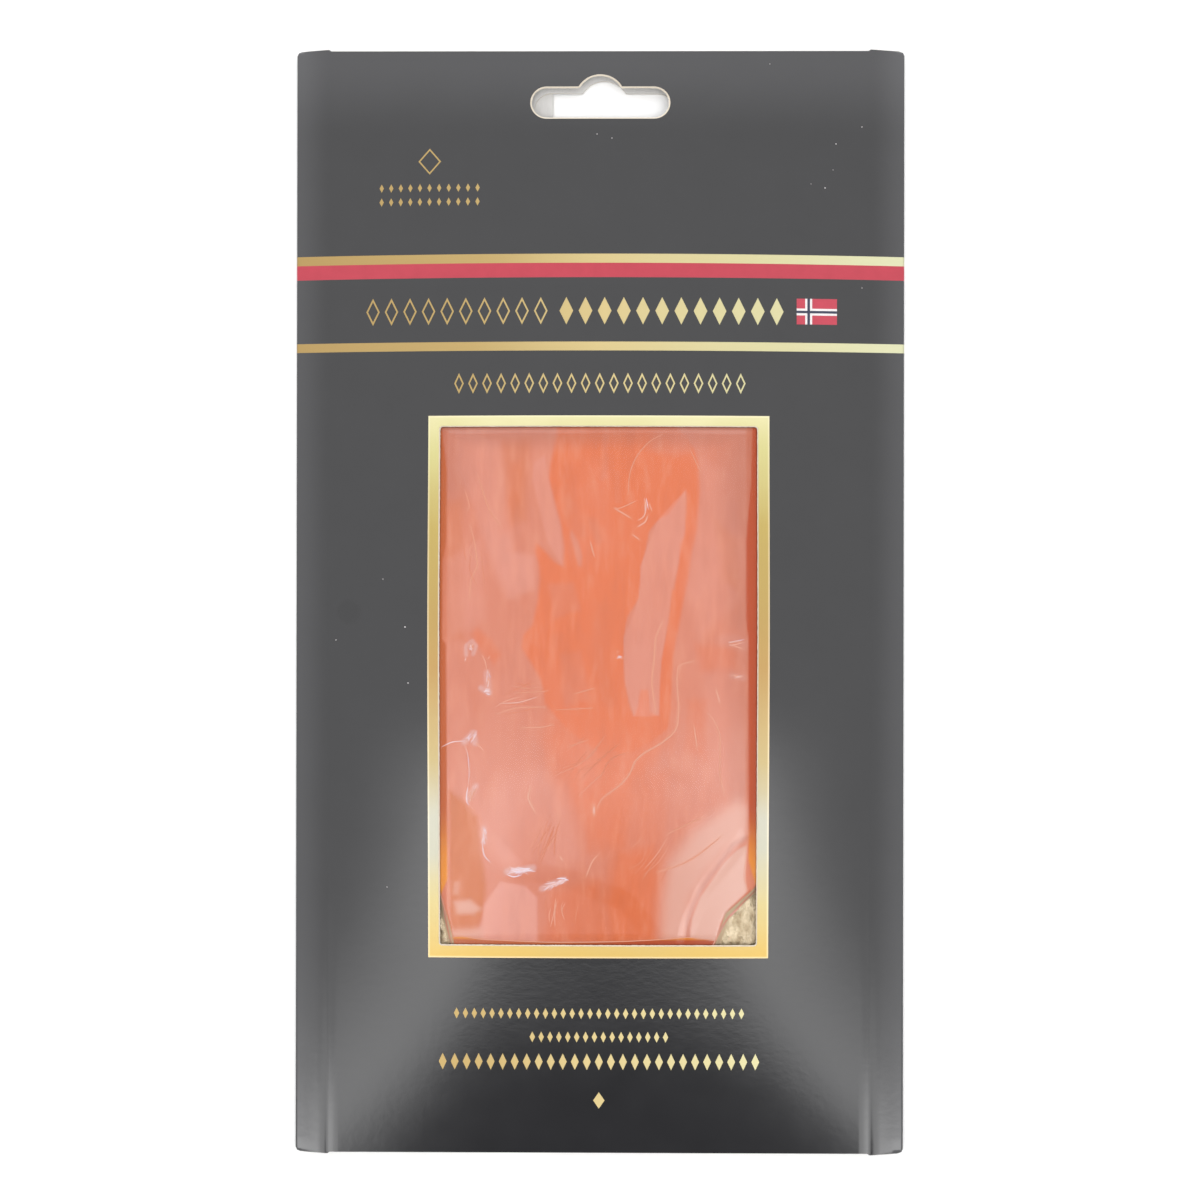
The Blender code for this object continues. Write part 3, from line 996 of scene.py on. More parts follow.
# Where the photograph shows the fish's markings, as pixels of it: the orange middle with the
# stripe at its right, the pale tongue between them, and the folded corner
orangeMiddle = (
    (558, 420), (556, 440), (551, 462), (549, 478), (555, 502), (560, 519), (564, 545), (563, 566),
    (555, 562), (546, 552), (536, 543), (535, 552), (539, 566), (540, 580), (538, 600), (533, 625),
    (523, 636), (522, 648), (531, 662), (541, 680), (544, 692), (545, 703), (556, 718), (568, 732),
    (590, 748), (628, 756), (652, 742), (668, 729), (671, 708), (672, 682), (674, 655), (677, 636),
    (684, 600), (688, 580), (691, 555), (697, 530), (699.7, 492), (698.5, 462), (694, 448),
    (686, 436), (672, 420),
)
paleTongue = (
    (686, 489), (675.5, 505), (668.5, 514), (657, 521), (649, 531), (645.5, 551), (641, 565), (639.5, 590),
    (638.5, 599), (632.7, 608), (627, 617), (623.5, 638), (623.5, 661), (624.6, 682), (629.3, 705),
    (634, 717), (638, 706), (640, 690), (648, 690), (650, 712), (659, 716), (659.3, 682), (661.6, 659),
    (666, 638), (670.8, 608), (672, 590), (674.3, 590), (676.6, 577), (679, 563), (680, 544),
    (684.7, 535), (686, 519), (687, 500),
)
foldedCorner = (
    (747, 845), (745, 879), (747.5, 891), (729, 909), (720, 924), (716, 945),
    (689, 945), (692, 918), (700, 898), (713, 879), (724, 863), (737, 850),
)
fields = {
    # blur in pixels, amount and outline of each field
    "deep": (
        (5.0, 1.0, orangeMiddle),
        (
            36.0, 0.72,
            ((556, 700), (668, 700), (664, 742), (640, 790), (628, 850), (590, 850), (566, 800), (548, 740)),
        ),
        (30.0, 0.8, ((618, 850), (655, 842), (664, 880), (656, 945), (612, 945), (604, 900))),
        (20.0, 0.5, ((548, 893), (600, 880), (612, 945), (540, 945))),
        (14.0, 0.4, ((622, 770), (668, 770), (662, 846), (622, 842))),
        (9.0, 0.6, ((478, 628), (492, 640), (500, 655), (494, 664), (484, 656), (470, 634))),
        (12.0, 0.4, ((510, 462), (522, 462), (520, 500), (508, 535), (500, 535))),
        (8.0, 0.45, ((560, 770), (584, 775), (600, 800), (590, 815), (570, 800))),
        (12.0, 0.35, ((696, 645), (738, 648), (738, 668), (700, 672))),
        (14.0, 0.35, ((688, 700), (708, 700), (706, 760), (686, 750))),
        (10.0, 0.3, ((640, 590), (652, 590), (648, 640), (640, 690), (634, 650))),
        (5.0, 0.9, ((637, 688), (650, 690), (652, 716), (636, 714))),
    ),
    # pale shapes that cut into the orange
    "cut": (
        (1.6, 0.95, paleTongue),
        (
            3.0, 0.9,
            (
                (534, 462), (532, 480), (537, 510), (547.6, 543), (558, 564), (562.5, 566),
                (564, 550), (560.7, 528), (555, 506), (549, 480), (545, 455),
            ),
        ),
        (2.2, 0.75, ((571, 529), (578, 541), (582.5, 556), (582, 567), (578, 566), (574, 550), (570, 536))),
        (5.0, 0.4, ((602, 424), (608, 424), (608, 478), (601, 480))),
        (4.0, 0.3, ((614, 470), (620, 470), (621, 503), (615, 503))),
        (7.0, 0.5, ((547, 584), (574, 582), (580, 610), (554, 620))),
        (9.0, 0.3, ((560, 655), (580, 650), (590, 700), (566, 706))),
        (12.0, 0.45, ((655, 428), (692, 428), (690, 452), (668, 456), (648, 450))),
    ),
    "pale": (
        (
            1.6, 0.35,
            (
                (686, 489), (657, 521), (641, 565), (638.5, 599), (623.5, 638), (625, 682),
                (634, 717), (659, 716), (661.6, 659), (672, 590), (684.7, 535),
            ),
        ),
        (
            3.0, 0.4,
            ((534, 462), (532, 480), (547.6, 543), (562.5, 566), (560.7, 528), (549, 480), (545, 455)),
        ),
        (
            26.0, 0.42,
            (
                (487, 800), (500, 776), (540, 768), (562, 790), (578, 835), (592, 862),
                (560, 870), (500, 868), (486, 840),
            ),
        ),
        (5.0, 1.0, ((484, 905), (500, 882), (525, 886), (537, 898), (537, 945), (480, 945))),
        (18.0, 0.3, ((700, 460), (738, 470), (742, 600), (700, 640), (690, 600))),
        (12.0, 0.3, ((445, 560), (480, 540), (486, 620), (446, 640))),
        (9.0, 0.5, ((500, 548), (534, 556), (536, 590), (506, 600), (498, 570))),
        (10.0, 0.1, ((704, 672), (742, 676), (745, 800), (712, 790))),
        (10.0, 0.4, ((455, 430), (500, 440), (520, 600), (505, 600), (470, 500), (455, 470))),
    ),
    "haze": (
        (
            24.0, 0.75,
            (
                (668, 864), (692, 832), (737, 800), (750, 810), (748, 838), (728, 852),
                (710, 872), (692, 902), (686, 946), (660, 946), (662, 900),
            ),
        ),
        (3.0, 1.0, foldedCorner),
        (5.0, 0.4, ((454, 882), (459, 882), (458, 896), (453, 894))),
        (8.0, 0.7, ((454, 902), (470, 900), (481, 909), (474, 914), (457, 914))),
        (10.0, 0.6, ((452, 930), (482, 928), (482, 940), (450, 941))),
    ),
    "tan": (
        (
            9.0, 0.95,
            (
                (448, 790), (462, 800), (478, 818), (481, 850), (486, 885),
                (484, 910), (476, 932), (450, 940), (448, 860),
            ),
        ),
        (14.0, 0.35, ((492, 440), (530, 440), (526, 520), (498, 530))),
        (10.0, 0.4, ((716, 520), (738, 540), (738, 590), (722, 580))),
        (12.0, 0.35, ((444, 500), (462, 500), (464, 640), (444, 640))),
    ),
}
strokes = {
    # route, half width in pixels and amount of each stroke
    "fat": (
        (((466, 655), (466, 646), (472, 641), (476, 646), (473, 654)), 2.6, 0.3),
        (((487, 673), (488, 690)), 4.5, 0.22),
        (((481, 688), (489, 693)), 3.6, 0.35),
        (((464, 742), (473, 733), (475, 743)), 4.0, 0.35),
        (((476, 786), (468, 799)), 3.6, 0.3),
        (((484, 828), (484, 842)), 3.4, 0.3),
        (((507, 872), (517, 871), (533, 868)), 4.4, 0.38),
        (((542, 889), (552, 884), (564, 880)), 4.0, 0.35),
        (((725, 640), (744, 645)), 8.0, 0.07),
        (((732, 676), (744, 678)), 4.0, 0.1),
    ),
    "vein": (
        (((477, 473), (489, 509), (501, 526)), 1.6, 0.4),
        (((465, 490), (469, 505), (467, 511)), 1.4, 0.4),
        (((470, 525), (474, 540), (477, 561), (477, 567), (471, 580), (469.5, 599)), 1.6, 0.45),
        (((663, 434), (649, 442), (637, 456), (630, 473), (628, 495)), 1.5, 0.35),
        (((690, 449), (696, 462), (701, 472)), 1.4, 0.3),
        (((614, 508), (631, 518)), 1.6, 0.7),
        (((648, 515), (645, 522), (637, 527)), 1.5, 0.8),
        (((632, 534), (640, 540)), 1.4, 0.7),
        (((645, 502), (645, 512)), 1.2, 0.8),
        (((649, 503), (652, 511)), 1.2, 0.7),
        (((663, 621), (656, 637), (654, 661), (652, 684), (656, 713)), 2.2, 0.5),
        (
            (
                (694, 661), (680, 665.5), (677, 678), (678.5, 708), (676, 729), (663, 742),
                (643, 754), (635, 762), (629, 775), (619, 786), (602, 799), (596, 811),
            ),
            2.0, 0.55,
        ),
        (((594, 806), (594, 815)), 2.6, 0.9),
        (((530.6, 788), (528, 798), (535, 812)), 1.8, 0.8),
        (((559.6, 856), (563, 861)), 1.4, 0.8),
        (((598, 855), (592, 862), (586, 877)), 1.6, 0.6),
        (((496, 714), (517, 708), (546, 707)), 1.3, 0.5),
        (((521, 728), (543, 727), (553, 724.5)), 1.3, 0.5),
        (((515, 693), (543, 691.5), (549, 690)), 1.2, 0.4),
        (((574, 694), (595, 688)), 1.2, 0.4),
        (((555, 710), (595, 708)), 1.2, 0.35),
        (((568, 747), (588, 740)), 1.2, 0.4),
        (((658, 872), (675, 867), (693, 858.5), (711, 845), (723, 835)), 2.2, 0.5),
        (((667.5, 834), (687, 824.5), (704, 817)), 1.8, 0.4),
        (((708, 713), (715, 722), (720, 737.5), (720, 775), (724.5, 794)), 1.6, 0.5),
        (((694, 726), (697, 748)), 1.4, 0.6),
        (((729, 644), (743, 649)), 1.5, 0.6),
        (((716, 689), (720, 703)), 1.6, 0.7),
        (((733, 675), (737.5, 677)), 1.8, 0.8),
        (((616, 658), (624, 658)), 0.9, 0.9),
        (((617, 651), (618, 652)), 1.2, 0.8),
        (((747, 845), (745, 867), (744, 879), (747.5, 890)), 1.4, 0.8),
    ),
    "shade": (
        (
            ((746, 838), (733, 845), (722, 861), (711, 875), (699, 892), (692, 908), (688, 921), (688, 938)),
            3.2, 0.3,
        ),
        (((440, 430), (755, 430)), 20, 0.4),
        (((444, 436), (446, 480)), 30, 0.32),
        (((750, 430), (746, 520)), 34, 0.38),
        (((742, 500), (742, 620)), 20, 0.28),
        (((742, 640), (740, 790)), 16, 0.22),
        (((592, 520), (598, 540)), 5, 0.15),
        (((568, 470), (572, 520), (580, 530)), 9, 0.1),
        (((604, 610), (600, 660), (608, 700)), 12, 0.1),
        (((560, 640), (572, 680), (568, 700)), 9, 0.1),
    ),
}
# strings of fat beside the brushed patches
strings = (
    (((466, 741), (458, 741.5), (451, 742.5), (440.6, 747.5)), 1.0, 0.75),
    (((463.6, 745), (467, 752), (468.5, 762), (469, 775), (468, 786)), 1.0, 0.6),
    (((475, 742), (480, 747), (484, 751)), 1.3, 0.4),
    (((482.5, 842), (482.8, 850), (485, 857), (491, 863)), 1.1, 0.8),
    (((481, 654), (485, 661), (486.5, 670)), 1.0, 0.4),
    (((490.5, 655), (487, 660)), 0.8, 0.4),
    (((466, 657), (464.5, 662)), 1.2, 0.6),
    (((507, 875), (514, 877), (522, 875)), 1.3, 1.0),
    (((556, 879), (563, 878.5), (569, 881)), 1.3, 0.95),
    (((468, 786), (466.5, 795), (467, 803), (470, 805)), 1.2, 0.8),
    (((644, 497), (646, 506), (644, 516), (637, 521)), 1.4, 0.5),
    (((646, 497), (648.5, 510)), 0.7, 0.9),
    (((590, 540), (592.5, 550), (595, 558)), 1.6, 0.3),
    (((638, 500), (620, 508), (614, 507)), 1.0, 0.35),
    # the fish's pale edges over the board at the two lower corners
    (((712, 948), (718, 936), (727, 921), (735, 913), (747, 900), (760, 888)), 2.6, 0.45),
    (((438, 888), (443, 905), (446, 925), (452, 948)), 2.2, 0.4),
)
# middle, length, breadth in pixels, angle, number of hairs and paleness of each brushed patch
brushes = (
    ((471, 647), 9, 7, 60, 16, 0.5),
    ((488, 679), 17, 5, 92, 22, 0.45),
    ((487, 691), 9, 7, 15, 20, 0.8),
    ((472, 737), 14, 8, 50, 26, 0.65),
    ((472, 794), 19, 6, 62, 24, 0.55),
    ((484, 835), 17, 4, 86, 18, 0.7),
    ((520, 871), 27, 6, 4, 40, 0.85),
    ((555, 884), 26, 6, 22, 36, 0.7),
    ((736, 643), 18, 6, 12, 8, 0.3),
    ((738, 677), 11, 4, 4, 9, 0.5),
    ((619, 656), 6, 8, 4, 6, 0.6),
    ((545, 840), 50, 50, 68, 12, 0.14),
    ((590, 760), 70, 60, 40, 10, 0.08),
    ((480, 560), 50, 60, 96, 5, 0.06),
    ((650, 860), 56, 50, 55, 8, 0.1),
    ((520, 700), 60, 44, 12, 8, 0.1),
    ((560, 910), 36, 60, 80, 8, 0.14),
)
shadeBands = {
    # width of the band of painted shade inside the window's rim, at heights in the photograph
    "left": ((430, 3), (470, 8), (540, 8), (560, 4.5), (640, 4.5), (645, 8), (850, 9), (880, 9), (900, 0)),
    "right": ((430, 6), (480, 7), (540, 12.5), (620, 12.5), (640, 10), (860, 9), (890, 0)),
}
bandMiddle, bandBlur = 600.0, 0.35
# the fish's lowest edge along the window's lower rim
wavyLine = (
    (440, 941), (447, 939.6), (454, 937.2), (461.5, 936.6), (481, 939.6), (503, 940.8), (551, 942.7),
    (620, 942), (665, 939.6), (687, 937.8), (703, 939.5), (715, 941),
)
# height of the fish's face, and how many millimetres of it a pixel shows
faceHeight = 6.5
scale = (camera["height"] - faceHeight) / camera["focalPixels"]


def fieldShare(x, y, name):
    total = np.zeros(len(x))
    for blur, amount, outline in fields[name]:
        outline = spots(outline)
        low, high = outline.min(axis=0) - blur * scale, outline.max(axis=0) + blur * scale
        near = (x > low[0]) & (x < high[0]) & (y > low[1]) & (y < high[1])
        depth = depthIn(x[near], y[near], outline)
        total[near] = np.maximum(total[near], amount * smooth(0.5 + depth / (blur * scale)))
    return total


def strokeShare(x, y, name):
    total = np.zeros(len(x))
    for route, half, amount in strokes[name]:
        near = amount * smooth(1.25 - distance(x, y, spots(route)) / (half * scale))
        total = np.maximum(total, near)
    return total


def shadeBandShare(x, y):
    # painted shade along the window's sides and under the fish's lowest edge
    total = np.zeros(len(x))
    for side, sign in (("left", 1), ("right", -1)):
        heights, widths = np.array(shadeBands[side]).T
        ys = spot(np.full(len(heights), bandMiddle), heights)[:, 1]
        width = np.interp(-y, -ys, widths) * scale
        depth = (x - window[side]) * sign
        total = np.maximum(total, smooth(0.5 + (width - depth) / bandBlur))
    line = spots(wavyLine)
    edge = np.interp(x, line[:, 0], line[:, 1])
    return np.maximum(total, smooth(0.5 + (edge - y) / bandBlur))


def addMark(piece, name, values):
    made = piece.data.attributes.new(name, "FLOAT", "POINT")
    made.data.foreach_set("value", np.ascontiguousarray(values, np.float32))


fishSheet = {
    "xs": (-46.0, window["left"] - 0.6, window["right"] + 0.6, 46.0),
    "xGaps": (1.6, 0.34, 1.6),
    "ys": (-87.0, window["bottom"] - 0.6, window["top"] + 0.6, 77.5),
    "yGaps": (1.6, 0.34, 3.0),
    "bare": 0.02,
    "foot": pouch["boardTop"] - 0.2,
    "base": pouch["boardTop"] - 0.4,
    "wallFrom": 0.75,
}


def fishHeight(x, y):
    covered = fishCover(x, y) > fishSheet["bare"]
    return np.where(covered, pouchHeight(x, y) - pouch["film"], fishSheet["foot"])


def makeFish():
    across = unevenly(fishSheet["xs"], fishSheet["xGaps"])
    along = unevenly(fishSheet["ys"], fishSheet["yGaps"])
    fish, x, y = sheet("smokedSalmon", across, along, fishHeight)
    addMark(fish, "deep", fieldShare(x, y, "deep") * (1 - fieldShare(x, y, "cut")))
    for name in ("pale", "haze", "tan"):
        addMark(fish, name, fieldShare(x, y, name))
    for name in ("fat", "vein", "shade"):
        addMark(fish, name, strokeShare(x, y, name))
    addMark(fish, "band", shadeBandShare(x, y))
    wallFrom = fishSheet["wallFrom"]
    addMark(fish, "wall", 1 - smooth((fishCover(x, y) - wallFrom) / (1 - wallFrom)))
    return smoothed(closedDown(fish, fishSheet["base"]), 60)


fishTones = {
    "flesh": (0.51, 0.162, 0.098),
    "deep": (0.565, 0.124, 0.04),
    "pale": (0.575, 0.24, 0.185),
    "haze": (0.56, 0.305, 0.243),
    "tan": (0.45, 0.1, 0.012),
    "fibre": (0.61, 0.25, 0.16),
    "vein": (0.56, 0.28, 0.18),
    "shade": (0.28, 0.085, 0.055),
    "fat": (0.56, 0.44, 0.45),
    "wall": (0.56, 0.42, 0.28),
    "shadeBandLeft": (0.405, 0.096, 0.032),
    "shadeBandRight": (0.37, 0.062, 0.022),
    "bandLow": (0.62, 0.22, 0.03),
    "rimShadow": (0.07, 0.025, 0.012),
}
fishLook = {
    # shares of the noises and marks in the fish's colour
    "deepStreaks": 0.16,
    "tanStreaks": 0.06,
    "paleClouds": 0.18,
    "fibres": 0.34,
    "shadedFibres": -0.13,
    "shadedStreaks": 0.1,
    "specks": 0.05,
    "veins": 0.35,
    "fatFibres": 0.2,
    "shadeBands": 0.95,
    "rimShadow": 0.7,
    # places along x or y, or distances from the rim, over which one gives way to the next
    "fibresTurn": (-38.0, -18.0),
    "sidesMeet": (-10.0, 10.0),
    "lowBand": (-62.0, -46.0),
    "lowestBand": (-77.4, -76.4),
    "rimShadowEdge": (0.2, 0.42),
    "clings": (1.4, 2.4),
    "standsOff": 0.8,
    "dry": 0.12,
    "wet": 0.83,
}


def paintFish():
    f = newFinish("salmonFlesh")
    tones, look = fishTones, fishLook
    streaks = f.swing(7, stretch=(1, 0.25, 1), detail=5, roughness=0.6, spin=0.12)
    clouds = f.swing(12, stretch=(1, 0.6, 1), detail=4, seed=0.05)
    upper = f.swing(1.9, stretch=(1, 0.22, 1), detail=4, roughness=0.6, spin=0.25)
    lower = f.swing(1.9, stretch=(1, 0.22, 1), detail=4, roughness=0.6, spin=-0.75, seed=0.1)
    turn = f.between(f.y, *look["fibresTurn"])
    fibres = f.node("Mix", {"data_type": "FLOAT"}, {0: turn, 2: lower, 3: upper})
    fine = f.swing(0.5, detail=3, roughness=0.6)
    deep = f.mark("deep")
    edge = deep * (1 - deep) * 4
    deep = f.clamp(deep + streaks * (look["deepStreaks"] + edge * look["deepStreaks"]))
    shaded = fibres * look["shadedFibres"] + streaks * look["shadedStreaks"]
    colour = f.mix(deep, tones["flesh"], tones["deep"])
    colour = f.mix(f.clamp(f.mark("tan") + streaks * look["tanStreaks"]), colour, tones["tan"])
    colour = f.mix(f.clamp(f.mark("pale") + clouds * look["paleClouds"]), colour, tones["pale"])
    colour = f.mix(f.clamp(fibres * look["fibres"]), colour, tones["fibre"])
    colour = f.mix(f.clamp(shaded), colour, tones["shade"])
    colour = f.mix(f.clamp(fine * look["specks"]), colour, tones["shade"])
    colour = f.mix(f.mark("haze"), colour, tones["haze"])
    colour = f.mix(f.mark("vein") * look["veins"], colour, tones["vein"])
    colour = f.mix(f.mark("shade"), colour, tones["shade"])
    colour = f.mix(f.clamp(f.mark("fat") * (1 + fibres * look["fatFibres"])), colour, tones["fat"])
    # painted shade: darker orange bands along the window's sides and bottom, where the card's rim shades the
    # fish, turning to the fish's golden tone low on the sides
    band = f.mix(f.between(f.x, *look["sidesMeet"]), tones["shadeBandLeft"], tones["shadeBandRight"])
    low = (1 - f.between(f.y, *look["lowBand"])) * f.between(f.y, *look["lowestBand"])
    band = f.mix(low, band, tones["bandLow"])
    colour = f.mix(f.mark("band") * look["shadeBands"], colour, band)
    # the fish's steep edge: a pale edge, lightened further as painted light against the shade that falls on
    # it
    colour = f.mix(f.mark("wall"), colour, tones["wall"])
    # painted shadow: a thin dark line just inside the window's rim, where the card shades the fish
    rimShadow = 1 - f.between(insetFrom(f, window), *look["rimShadowEdge"])
    colour = f.mix(rimShadow * look["rimShadow"], colour, tones["rimShadow"])
    normal = f.bump(fibres * 0.15 + streaks * 0.1, 0.3, 0.05)
    # the film clings to the fish, so its gloss is a coat here, save where it stands off at the sides
    near = f.sum("MINIMUM", f.x - window["left"], window["right"] - f.x - look["standsOff"])
    wet = look["dry"] + look["wet"] * f.between(near, *look["clings"])
    gloss = {"Coat_Weight": wet, "Coat_Roughness": 0.12, "Specular_IOR_Level": 0.1}
    return f.plain(Base_Color=colour, Roughness=0.45, Normal=normal, **gloss)


# Fine pale strands on the fish: its veins, the strings of fat and the hairs of each patch
strandLook = {
    "gap": 0.55,
    "lift": 0.045,
    "fullLiftHalf": 0.12,
    "clear": 0.012,
    "merge": 0.0005,
    "veinHalf": 0.085,
    "veinTone": 0.6,
    "stringHalf": 0.11,
    "wavyHalf": 0.12,
    "wavyTone": 0.4,
}
hairLook = {
    "seed": 11,
    "aside": 0.4,
    "shift": (-0.22, 0.22),
    "reach": (0.2, 0.46),
    "shorter": 0.5,
    "bend": (-0.14, 0.14),
    "endBend": (-0.6, 1),
    "half": (0.06, 0.12),
    "toneSpread": 0.2,
}


def curved(points, gap):
    # a smooth curve through the points, in steps of about a gap
    points = np.asarray(points, float)
    ends = 2 * points[[0, -1]] - points[[1, -2]]
    points = np.vstack([ends[:1], points, ends[1:]])
    places = []
    for a, b, c, d in zip(points, points[1:], points[2:], points[3:]):
        steps = max(2, round(float(np.linalg.norm(c - b)) / gap))
        for t in np.arange(steps) / steps:
            bend = (2 * a - 5 * b + 4 * c - d) * t * t + (3 * b - a - 3 * c + d) * t**3
            places.append(0.5 * (2 * b + (c - a) * t + bend))
    return np.array(places + [points[-2]])


def brushedHairs():
    look = hairLook
    draw = np.random.default_rng(look["seed"])
    hairs = []
    for middle, length, breadth, angle, count, paleness in brushes:
        turn = math.radians(angle)
        along = np.array([math.cos(turn), -math.sin(turn)])
        across = np.array([along[1], -along[0]])
        for _ in range(count):
            side = np.clip(draw.normal(0, look["aside"]), -1, 1)
            start = np.array(middle) + across * side * breadth / 2
            start = start + along * draw.uniform(*look["shift"]) * length
            reach = length * draw.uniform(*look["reach"]) * (1 - look["shorter"] * abs(side))
            bend = across * draw.uniform(*look["bend"]) * length
            end = start + along * reach + bend * draw.uniform(*look["endBend"])
            half = draw.uniform(*look["half"])
            tone = np.clip(paleness + draw.normal(0, look["toneSpread"]), 0, 1)
            hairs.append(((start - along * reach + bend, start, end), half, tone))
    return hairs


def makeStrands():
    # every strand is a thin three-sided tube that tapers to a point at both ends
    look = strandLook
    lines = []
    for route, half, tone in strokes["vein"]:
        lines.append((route, half * look["veinHalf"], look["veinTone"] * tone))
    lines += [(route, half * look["stringHalf"], tone) for route, half, tone in strings]
    lines.append((wavyLine, look["wavyHalf"], look["wavyTone"]))
    lines += brushedHairs()
    rows = []
    for route, half, tone in lines:
        line = curved(spots(route), look["gap"])
        way = np.gradient(line, axis=0)
        way /= np.maximum(np.linalg.norm(way, axis=1), 1e-9)[:, None]
        taper = np.sqrt(np.sin(np.pi * np.linspace(0, 1, len(line))).clip(0))
        taper[[0, -1]] = 0
        rows += [(x, y, -dy, dx, half * t, tone) for (x, y), (dx, dy), t in zip(line, way, taper)]
    rows = np.array(rows)
    strands, column, row = gridSheet("fatStrands", range(len(rows)), range(4))
    x, y, sideX, sideY, half, tone = rows[column].T
    offset = np.array([-1.0, 0.0, 1.0, -1.0])[row]
    x, y = x + sideX * half * offset, y + sideY * half * offset
    lift = np.where(row == 1, look["lift"] * np.minimum(1, half / look["fullLiftHalf"]), 0)
    z = pouchHeight(x, y) - pouch["film"] + lift + look["clear"]
    putCorners(strands, np.column_stack([x, y, z]) * mm)
    addMark(strands, "tone", tone)
    editing(strands)
    bpy.ops.mesh.remove_doubles(threshold=look["merge"] * mm)
    bpy.ops.mesh.delete_loose()
    sealed()
    return smoothed(strands, 80)


def paintStrands():
    f = newFinish("paleFat")
    tone = f.mark("tone")
    colour = f.mix(f.between(tone, 0.0, 0.5), (0.53, 0.18, 0.105), (0.6, 0.29, 0.21))
    colour = f.mix(f.between(tone, 0.4, 1.0), colour, (0.66, 0.56, 0.62))
    lavender = f.swing(2.5, detail=1)
    colour = f.mix(f.clamp(lavender * 0.5) * f.between(tone, 0.3, 0.7), colour, (0.5, 0.34, 0.46))
    return f.plain(Base_Color=colour, Roughness=0.5, Specular_IOR_Level=0.1)


filmLook = {
    "xGaps": (2.4, 0.8, 2.4),
    "yGaps": (2.0, 0.8, 3.0),
    "roughness": 0.12,
    "steepness": 5.0,
    "aslant": 0.95,
    "upright": 0.004,
}


def makeFilm():
    half = pouch["width"] / 2
    across = unevenly((-half, window["left"], window["right"], half), filmLook["xGaps"])
    ys = (pouch["low"], window["bottom"], window["top"], pouch["high"])
    film, _, _ = sheet("pouchFilm", across, unevenly(ys, filmLook["yGaps"]), pouchHeight)
    return smoothed(closedDown(film, pouch["base"]), 60)


def paintFilm():
    f = newFinish("clearFilm")
    wrinkle = f.noise(5, stretch=(1, 0.5, 1), detail=3, spin=0.4)
    normal = f.bump(wrinkle, 0.35, 0.15)
    clear = f.node("BsdfTransparent", {}, {})
    sockets = {"Color": (1.0, 1.0, 1.0), "Roughness": filmLook["roughness"], "Normal": normal}
    gloss = f.node("BsdfGlossy", {}, sockets)
    # the same from inside and outside, where a Fresnel node would shut light in
    aslant = f.node("LayerWeight", {}, {"Blend": 0.5, "Normal": normal}, "Facing")
    share = f.sum("POWER", aslant, filmLook["steepness"]) * filmLook["aslant"] + filmLook["upright"]
    return f.done(f.node("MixShader", {}, {0: share, 1: clear, 2: gloss}))


boardLook = {
    "xs": (window["left"] - 1, -30.0, 24.0, window["right"] + 1),
    "xGaps": (2.5, 0.24, 2.5, 0.24, 2.5),
    "ys": (window["bottom"] - 1, -60.0),
    "yGaps": (2.5, 0.24, 4.0),
    "face": pouch["boardTop"] - 0.25,
    "foot": pouch["base"] + 0.15,
    "crinkle": 0.13,
    "crinkles": 0.55,
    # dimension, lacunarity, octaves, offset and gain of the crinkles' noise
    "ridges": (0.9, 2.1, 3, 1.0, 2.0),
    # dark and pale of the crinkles: laminate tone with painted shade and highlight
    "low": (0.27, 0.19, 0.1),
    "high": (0.68, 0.57, 0.4),
    "facet": 1.5,
}


def boardHeight(x, y):
    # crinkled only where the window's lower corners show it
    (left, *_, right), (low, high) = boardLook["xs"], boardLook["ys"]
    places = np.column_stack([x, y, 0 * x]) * boardLook["crinkles"]
    folds = np.array([noise.ridged_multi_fractal(Vector(p), *boardLook["ridges"]) for p in places])
    shown = (x > left) & (x < right) & (y > low) & (y < high)
    return boardLook["face"] + boardLook["crinkle"] * np.clip(folds, 0, 2) * shown


def makeBoard():
    half = pouch["boardWidth"] / 2
    across = unevenly((-half, *boardLook["xs"], half), boardLook["xGaps"])
    along = unevenly((pouch["boardLow"], *boardLook["ys"], pouch["boardHigh"]), boardLook["yGaps"])
    board, _, _ = sheet("goldBoard", across, along, boardHeight)
    return smoothed(closedDown(board, boardLook["foot"]), 40)


def paintBoard():
    f = newFinish("goldLaminate")
    crinkle = f.swing(1.7, stretch=(1, 0.5, 1), detail=4, roughness=0.6, spin=-0.7)
    sockets = {"Vector": f.coords, "Scale": 1 / (boardLook["facet"] * mm)}
    facets = f.node("TexVoronoi", {"feature": "F1"}, sockets)
    # the colour follows the crinkles: the laminate's tone with painted highlight and shade on its crinkles
    colour = f.mix(f.clamp(0.45 + crinkle * 0.6), boardLook["low"], boardLook["high"])
    normal = f.bump(crinkle * 0.3 + facets * 0.5, 1.0, 0.4)
    return f.plain(Base_Color=colour, Metallic=0.6, Roughness=0.4, Normal=normal)


fish = makeFish()
dressed(fish, "salmon", paintFish())
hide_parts("pouch")
dressed(makeStrands(), "salmon", paintStrands())
print("fish sliced")
film = makeFilm()
dressed(film, "clear_film", paintFilm())
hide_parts("pouch")
board = makeBoard()
dressed(board, "gold_board", paintBoard())
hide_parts("pouch")
print("pouch sealed")


# Plain floor and soft studio light
studio = {
    "floorSize": 6.0,
    "floorTone": (0.9, 0.9, 0.9),
    "floorLow": -0.0002,
    "boxMiddle": (0.0, 1.6, 1.3),
    "boxSize": (3.0, 0.8),
    "boxRadiance": 1.5,
}
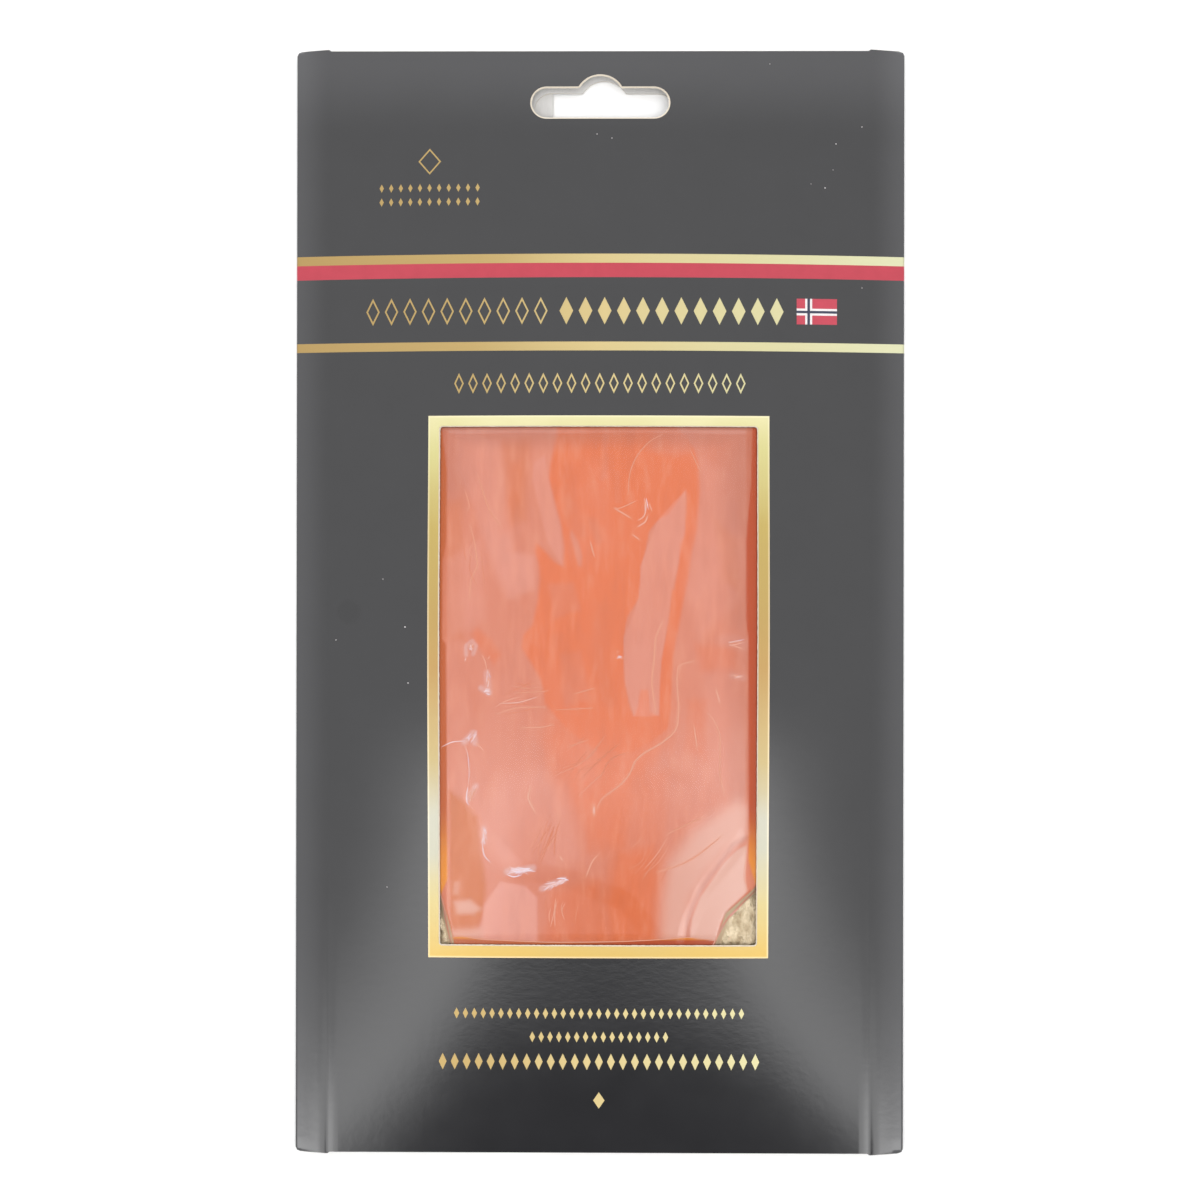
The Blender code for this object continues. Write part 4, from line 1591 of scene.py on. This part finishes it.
# levels of the dome's parts, and where each starts and ends: across and down are the slopes
# away from straight up, to either side and towards the pack's foot
dome = {
    "top": 1.64,
    "horizon": 1.0,
    "climb": (0.2, 0.7),
    "steepest": 0.05,
    "dark": 0.05,
    "darkAcross": (0.1, 0.16),
    "darkDown": (0.24, 0.3),
    "low": 2.8,
    "lowAcross": (0.2, 0.36),
    "lowDown": (0.15, 0.28),
    "corner": 3.8,
    "cornerAcross": (0.2, 0.35),
    "cornerDown": (0.24, 0.29),
    "endAcross": (0.55, 0.8),
    "endDown": (0.34, 0.6),
}


def makeFloor():
    deselect()
    bpy.ops.mesh.primitive_plane_add(size=studio["floorSize"], location=(0, 0, studio["floorLow"]))
    floor = named("floor")
    f = newFinish("paleFloor")
    tone = f.mix(f.noise(40, detail=2), studio["floorTone"], tuple(c * 0.99 for c in studio["floorTone"]))
    floor.data.materials.append(f.plain(Base_Color=tone, Roughness=0.9))


def makeLight():
    data = bpy.data.lights.new("key", "AREA")
    data.shape = "RECTANGLE"
    data.size, data.size_y = studio["boxSize"]
    data.energy = studio["boxRadiance"] * math.pi * data.size * data.size_y
    light = bpy.data.objects.new("key", data)
    light.location = studio["boxMiddle"]
    light.rotation_euler = (-Vector(studio["boxMiddle"])).to_track_quat("-Z", "Y").to_euler()
    bpy.context.scene.collection.objects.link(light)


def makeDome():
    # an even dome with a dark gap low in front of the pack and brighter cloth beside it
    w = Finish(bpy.data.worlds.new("studio"), "Generated", 1.0)
    up = w.sum("MAXIMUM", w.z, dome["steepest"])
    across, down = w.sum("ABSOLUTE", w.x / up), 0.0 - w.y / up
    dark = (1 - w.between(across, *dome["darkAcross"])) * w.between(down, *dome["darkDown"])
    low = w.between(down, *dome["lowDown"]) * (1 - 0.5 * w.between(across, *dome["lowAcross"]))
    corner = w.between(across, *dome["cornerAcross"]) * w.between(down, *dome["cornerDown"])
    bright = low * dome["low"] + corner * dome["corner"]
    bright = bright * (1 - w.between(down, *dome["endDown"])) * (1 - w.between(across, *dome["endAcross"]))
    level = dome["horizon"] + w.between(w.z, *dome["climb"]) * (dome["top"] - dome["horizon"])
    level = (level + bright) * (1 - dark) + dome["dark"] * dark
    bpy.context.scene.world = w.done(w.node("Background", {}, {"Strength": level}), "OutputWorld")


makeCamera()
makeFloor()
makeLight()
makeDome()
bpy.context.scene.view_settings.view_transform = "Standard"
print("studio lit")

deselect()
